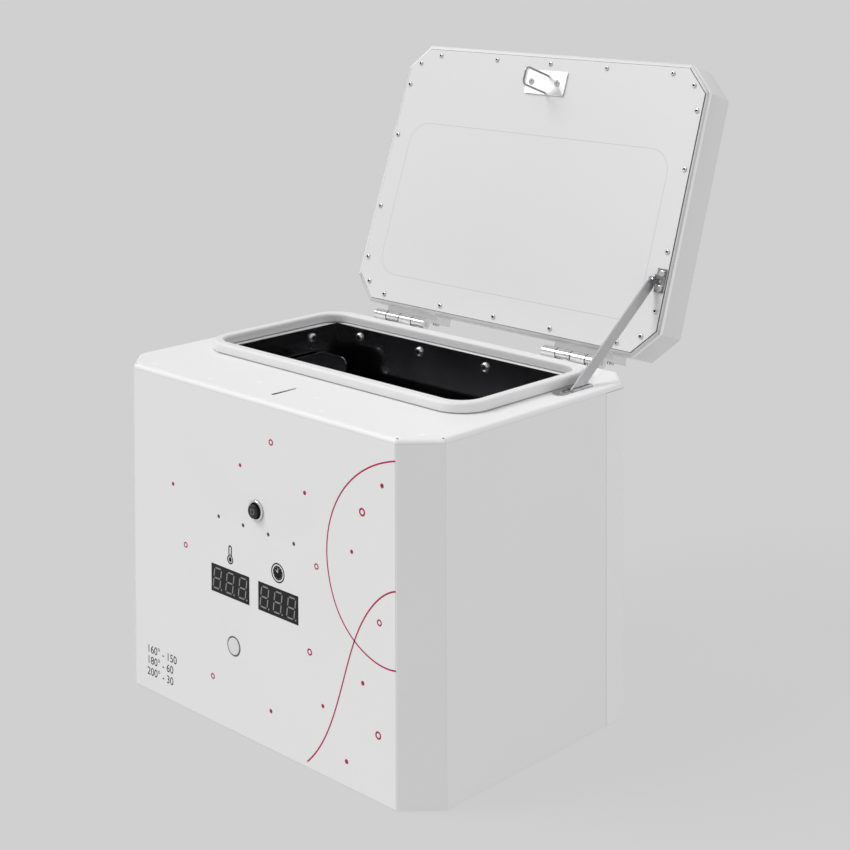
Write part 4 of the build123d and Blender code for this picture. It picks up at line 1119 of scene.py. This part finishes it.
@dataclass
class Lid:
    """Lid shell, plate, screws, striker."""

    b: Builder
    angle: float = math.radians(109.83)
    rear: float = -12.7
    plate_z: float = 8.9
    plate_half: float = 217.45
    plate_ends: Point2 = (4.7, 309.4)
    plate_cut: float = 26.05
    cut_growth: float = 0.586
    seam_depth: Point2 = (-1.52, -0.3)
    seam_reach: Point2 = (0.5, -0.04)
    witness_half: float = 191.0
    witness_ends: Point2 = (35.0, 219.0)
    witness_radius: float = 26.0
    witness_width: float = 0.7

    def point(self, x: float, y: float, z: float) -> Vector:
        """Point of the open lid, given closed and from the hinge axis, in millimetres."""
        c, s = math.cos(self.angle), math.sin(self.angle)
        return at(x, HINGE_Y + c * y + s * z, HINGE_Z - s * y + c * z)

    def on_plate(self, u: float, v: float, h: float) -> Vector:
        """Point on the plate; v runs from its rear and h is how far it stands proud, in millimetres."""
        return self.point(u, self.rear - v, self.plate_z - h)

    def out(self) -> Vector:
        """Normal of the plate's visible face."""
        return Vector((0, -math.sin(self.angle), -math.cos(self.angle)))

    def build(self) -> None:
        """Build the lid."""
        f = self.b.finishes
        self.b.smooth("lid_shell", f.lid_enamel, "lid", 40.0)
        self.b.dress("lid_plate", f.plate)
        self.b.dress("lid_insulation", f.wool)
        self.b.smooth("striker_plate", f.striker, "lid")
        self.b.smooth("striker_loop", f.wire, "lid", 60.0)
        self.b.dress("striker_screws", f.screws)
        heads = [(u, v) for v in (11.2, 302.3) for u in (-171.8, -81.4, 0.0, 81.4, 171.8)]
        heads += [(s * 212.0, v) for s in (-1, 1) for v in (50.5, 112.5, 200.5, 264.0)]
        heads += [(s * 202.0, 291.0) for s in (-1, 1)] + [(s * 200.5, 22.5) for s in (-1, 1)]
        spots = [(self.on_plate(u, v, 0.0), self.out()) for u, v in heads]
        rows = self.b.screws.rows("plate_screw_heads", spots, Hardware.HEX_BUTTON, 2.75, 1.6, f.screws, 3)
        self.b.keep(rows, "lid", "plated_hardware", "lid_plate_screws")
        self._witness()
        self._edge_line()

    def _octagon(self, grow: float) -> list[Point2]:
        """Plate outline grown outwards by some millimetres."""
        half, near, far = self.plate_half + grow, self.plate_ends[0] - grow, self.plate_ends[1] + grow
        cut = self.plate_cut + self.cut_growth * grow
        return [
            (half, near + cut), (half, far - cut), (half - cut, far), (cut - half, far),
            (-half, far - cut), (-half, near + cut), (cut - half, near), (half - cut, near),
        ]

    def _edge_line(self) -> None:
        """Painted shade: a thin dark band on the plate's edge, down to the shell's inturned flange."""
        bm = bmesh.new()
        outer, inner = (self._octagon(grow) for grow in self.seam_reach)
        prism(bm, outer, self.on_plate, *self.seam_depth, inner)
        self.b.mark("plate_edge_line", bm, Ink.SEAM, "lid", "white_enamel")

    def _witness(self) -> None:
        """Faint rounded line that the gasket has pressed into the plate's coat."""
        bm = bmesh.new()
        r, x = self.witness_radius, self.witness_half - self.witness_radius
        near, far = self.witness_ends[0] + r, self.witness_ends[1] - r
        outline, inner = [], []
        for k, (cx, cv) in enumerate(((x, far), (-x, far), (-x, near), (x, near))):
            start, end = math.radians(90 * k), math.radians(90 * (k + 1))
            outline += arc(cx, cv, r, start, end, 9)
            inner += arc(cx, cv, r - self.witness_width, start, end, 9)
        prism(bm, outline, self.on_plate, MARK_LOW, MARK_HIGH, inner)
        self.b.mark("gasket_witness", bm, Ink.WITNESS, "lid", "white_enamel")


@dataclass
class Hinges:
    """Hinges and stay."""

    b: Builder

    def build(self) -> None:
        """Dress the hinges and the stay."""
        f = self.b.finishes
        for node in ("hinge_body_packers", "hinge_lid_packers"):
            self.b.dress(node, f.hinge)
        for node in ("hinge_body_screws", "hinge_lid_screws", "stay_bracket_screws", "stay_faceplate_screws"):
            self.b.dress(node, f.screws)
        for node, material, body in (
            ("hinge_body_leaves", f.hinge, "base"), ("hinge_lid_leaves", f.hinge, "lid"),
            ("hinge_pins", f.hinge, "base"), ("stay_arm", f.stay, "stay"), ("stay_stop_pin", f.stay, "stay"),
            ("stay_bracket", f.mottled, "lid"), ("stay_rivet", f.mottled, "lid"),
            ("stay_faceplate", f.mottled, "base"),
        ):
            self.b.smooth(node, material, body)


@dataclass
class Studio:
    """Floor, light and camera.

    The camera is that of the photograph: nearly level, its frame shifted down. Its turns are yaw,
    pitch and roll in degrees, its eye is in millimetres.
    """

    floor_level: float = 208.0
    floor_half: float = 60.0
    floor_z: float = -0.0002
    floor_matt: float = 0.14
    ambient: float = 0.54
    turns: Point3 = (44.0967, 1.7778, -0.1671)
    eye: Point3 = (1318.0, -1281.9, 812.8)
    lens: float = 75.93
    shift: float = -0.5435

    def build(self) -> None:
        """Build the studio."""
        self._floor()
        self._world()
        self._sun("front_left_light", (-0.5, -0.5, 0.75), 1.46, 30.0)
        self._sun("rear_right_light", (0.75, 0.65, 0.1), 0.46, 40.0)
        self._sun("top_light", (0.0, -0.1, 1.0), 0.3, 60.0)
        self._camera()

    def _floor(self) -> None:
        """Wide pale floor that keeps a soft contact shadow."""
        bm = bmesh.new()
        half, z = self.floor_half, self.floor_z
        corners = ((-half, -half, z), (half, -half, z), (half, half, z), (-half, half, z))
        bm.faces.new([bm.verts.new(corner) for corner in corners])
        floor = solid_object("floor", bm, None)
        b = Board("pale_floor")
        colour = (*grey(self.floor_level), 1)
        glow = b.add("ShaderNodeEmission", inputs={"Color": colour, "Strength": 1.0})
        matt = b.add("ShaderNodeBsdfDiffuse", inputs={"Color": (0.62, 0.62, 0.62, 1)})
        b.add_output(b.add("ShaderNodeMixShader", inputs={0: self.floor_matt, 1: glow, 2: matt}))
        paint(floor, b.owner)
        floor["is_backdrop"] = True

    def _world(self) -> None:
        """Even ambient light, the floor's own grey behind everything."""
        b = Board("studio", world=True)
        bpy.context.scene.world = b.owner
        seen = b.add("ShaderNodeBackground", inputs={"Color": (*grey(self.floor_level), 1)})
        light = b.add("ShaderNodeBackground", inputs={"Color": (1, 1, 1, 1), "Strength": self.ambient})
        camera_ray = b.add("ShaderNodeLightPath", output="Is Camera Ray")
        surface = b.add("ShaderNodeMixShader", inputs={0: camera_ray, 1: light, 2: seen})
        b.add_output(surface, "ShaderNodeOutputWorld")

    @staticmethod
    def _sun(name: str, towards: Point3, strength: float, spread: float) -> None:
        """Add one far light.

        Args:
            name: the lamp's name.
            towards: direction from the object to the lamp.
            strength: irradiance in watts per square metre.
            spread: angular size in degrees.
        """
        data = bpy.data.lights.new(name, "SUN")
        data.energy = strength
        data.angle = math.radians(spread)
        placed(name, data).rotation_euler = Vector(towards).to_track_quat("Z", "Y").to_euler()

    def _camera(self) -> None:
        """Set up the camera."""
        yaw, pitch, roll = (math.radians(a) for a in self.turns)
        level = math.cos(pitch)
        forward = Vector((-math.sin(yaw) * level, math.cos(yaw) * level, -math.sin(pitch)))
        right = Vector((math.cos(yaw), math.sin(yaw), 0))
        up = right.cross(forward)
        turned = right * math.cos(roll) + up * math.sin(roll)
        upright = up * math.cos(roll) - right * math.sin(roll)
        data = bpy.data.cameras.new("photo_camera")
        data.sensor_width = 36.0
        data.lens = self.lens
        data.shift_y = self.shift
        data.clip_end = 200.0
        camera = placed("photo_camera", data)
        spin = Matrix((turned, upright, -forward)).transposed().to_4x4()
        camera.matrix_world = Matrix.Translation(at(*self.eye)) @ spin
        bpy.context.scene.camera = camera


def main() -> list[list[list[float]]]:
    """Build the scene.

    Returns:
        The CAD model's box, as plain lists.
    """
    logging.basicConfig(level=logging.INFO, format="%(message)s")
    for item in list(bpy.data.objects):
        bpy.data.objects.remove(item)
    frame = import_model()
    cad_box = [[float(c) for c in corner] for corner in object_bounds()]
    bpy.context.scene.view_settings.view_transform = "Standard"
    slots = {s["node"]: s["material_slot"] for s in frame["record"]["subparts"]}
    builder = Builder(frame, Finishes(), ScrewTree(), slots)
    for part in (Casing, FrontPanel, Chamber, Lid, Hinges):
        part(builder).build()
    Studio().build()
    return cad_box


if __name__ == "__main__":
    box_before = main()
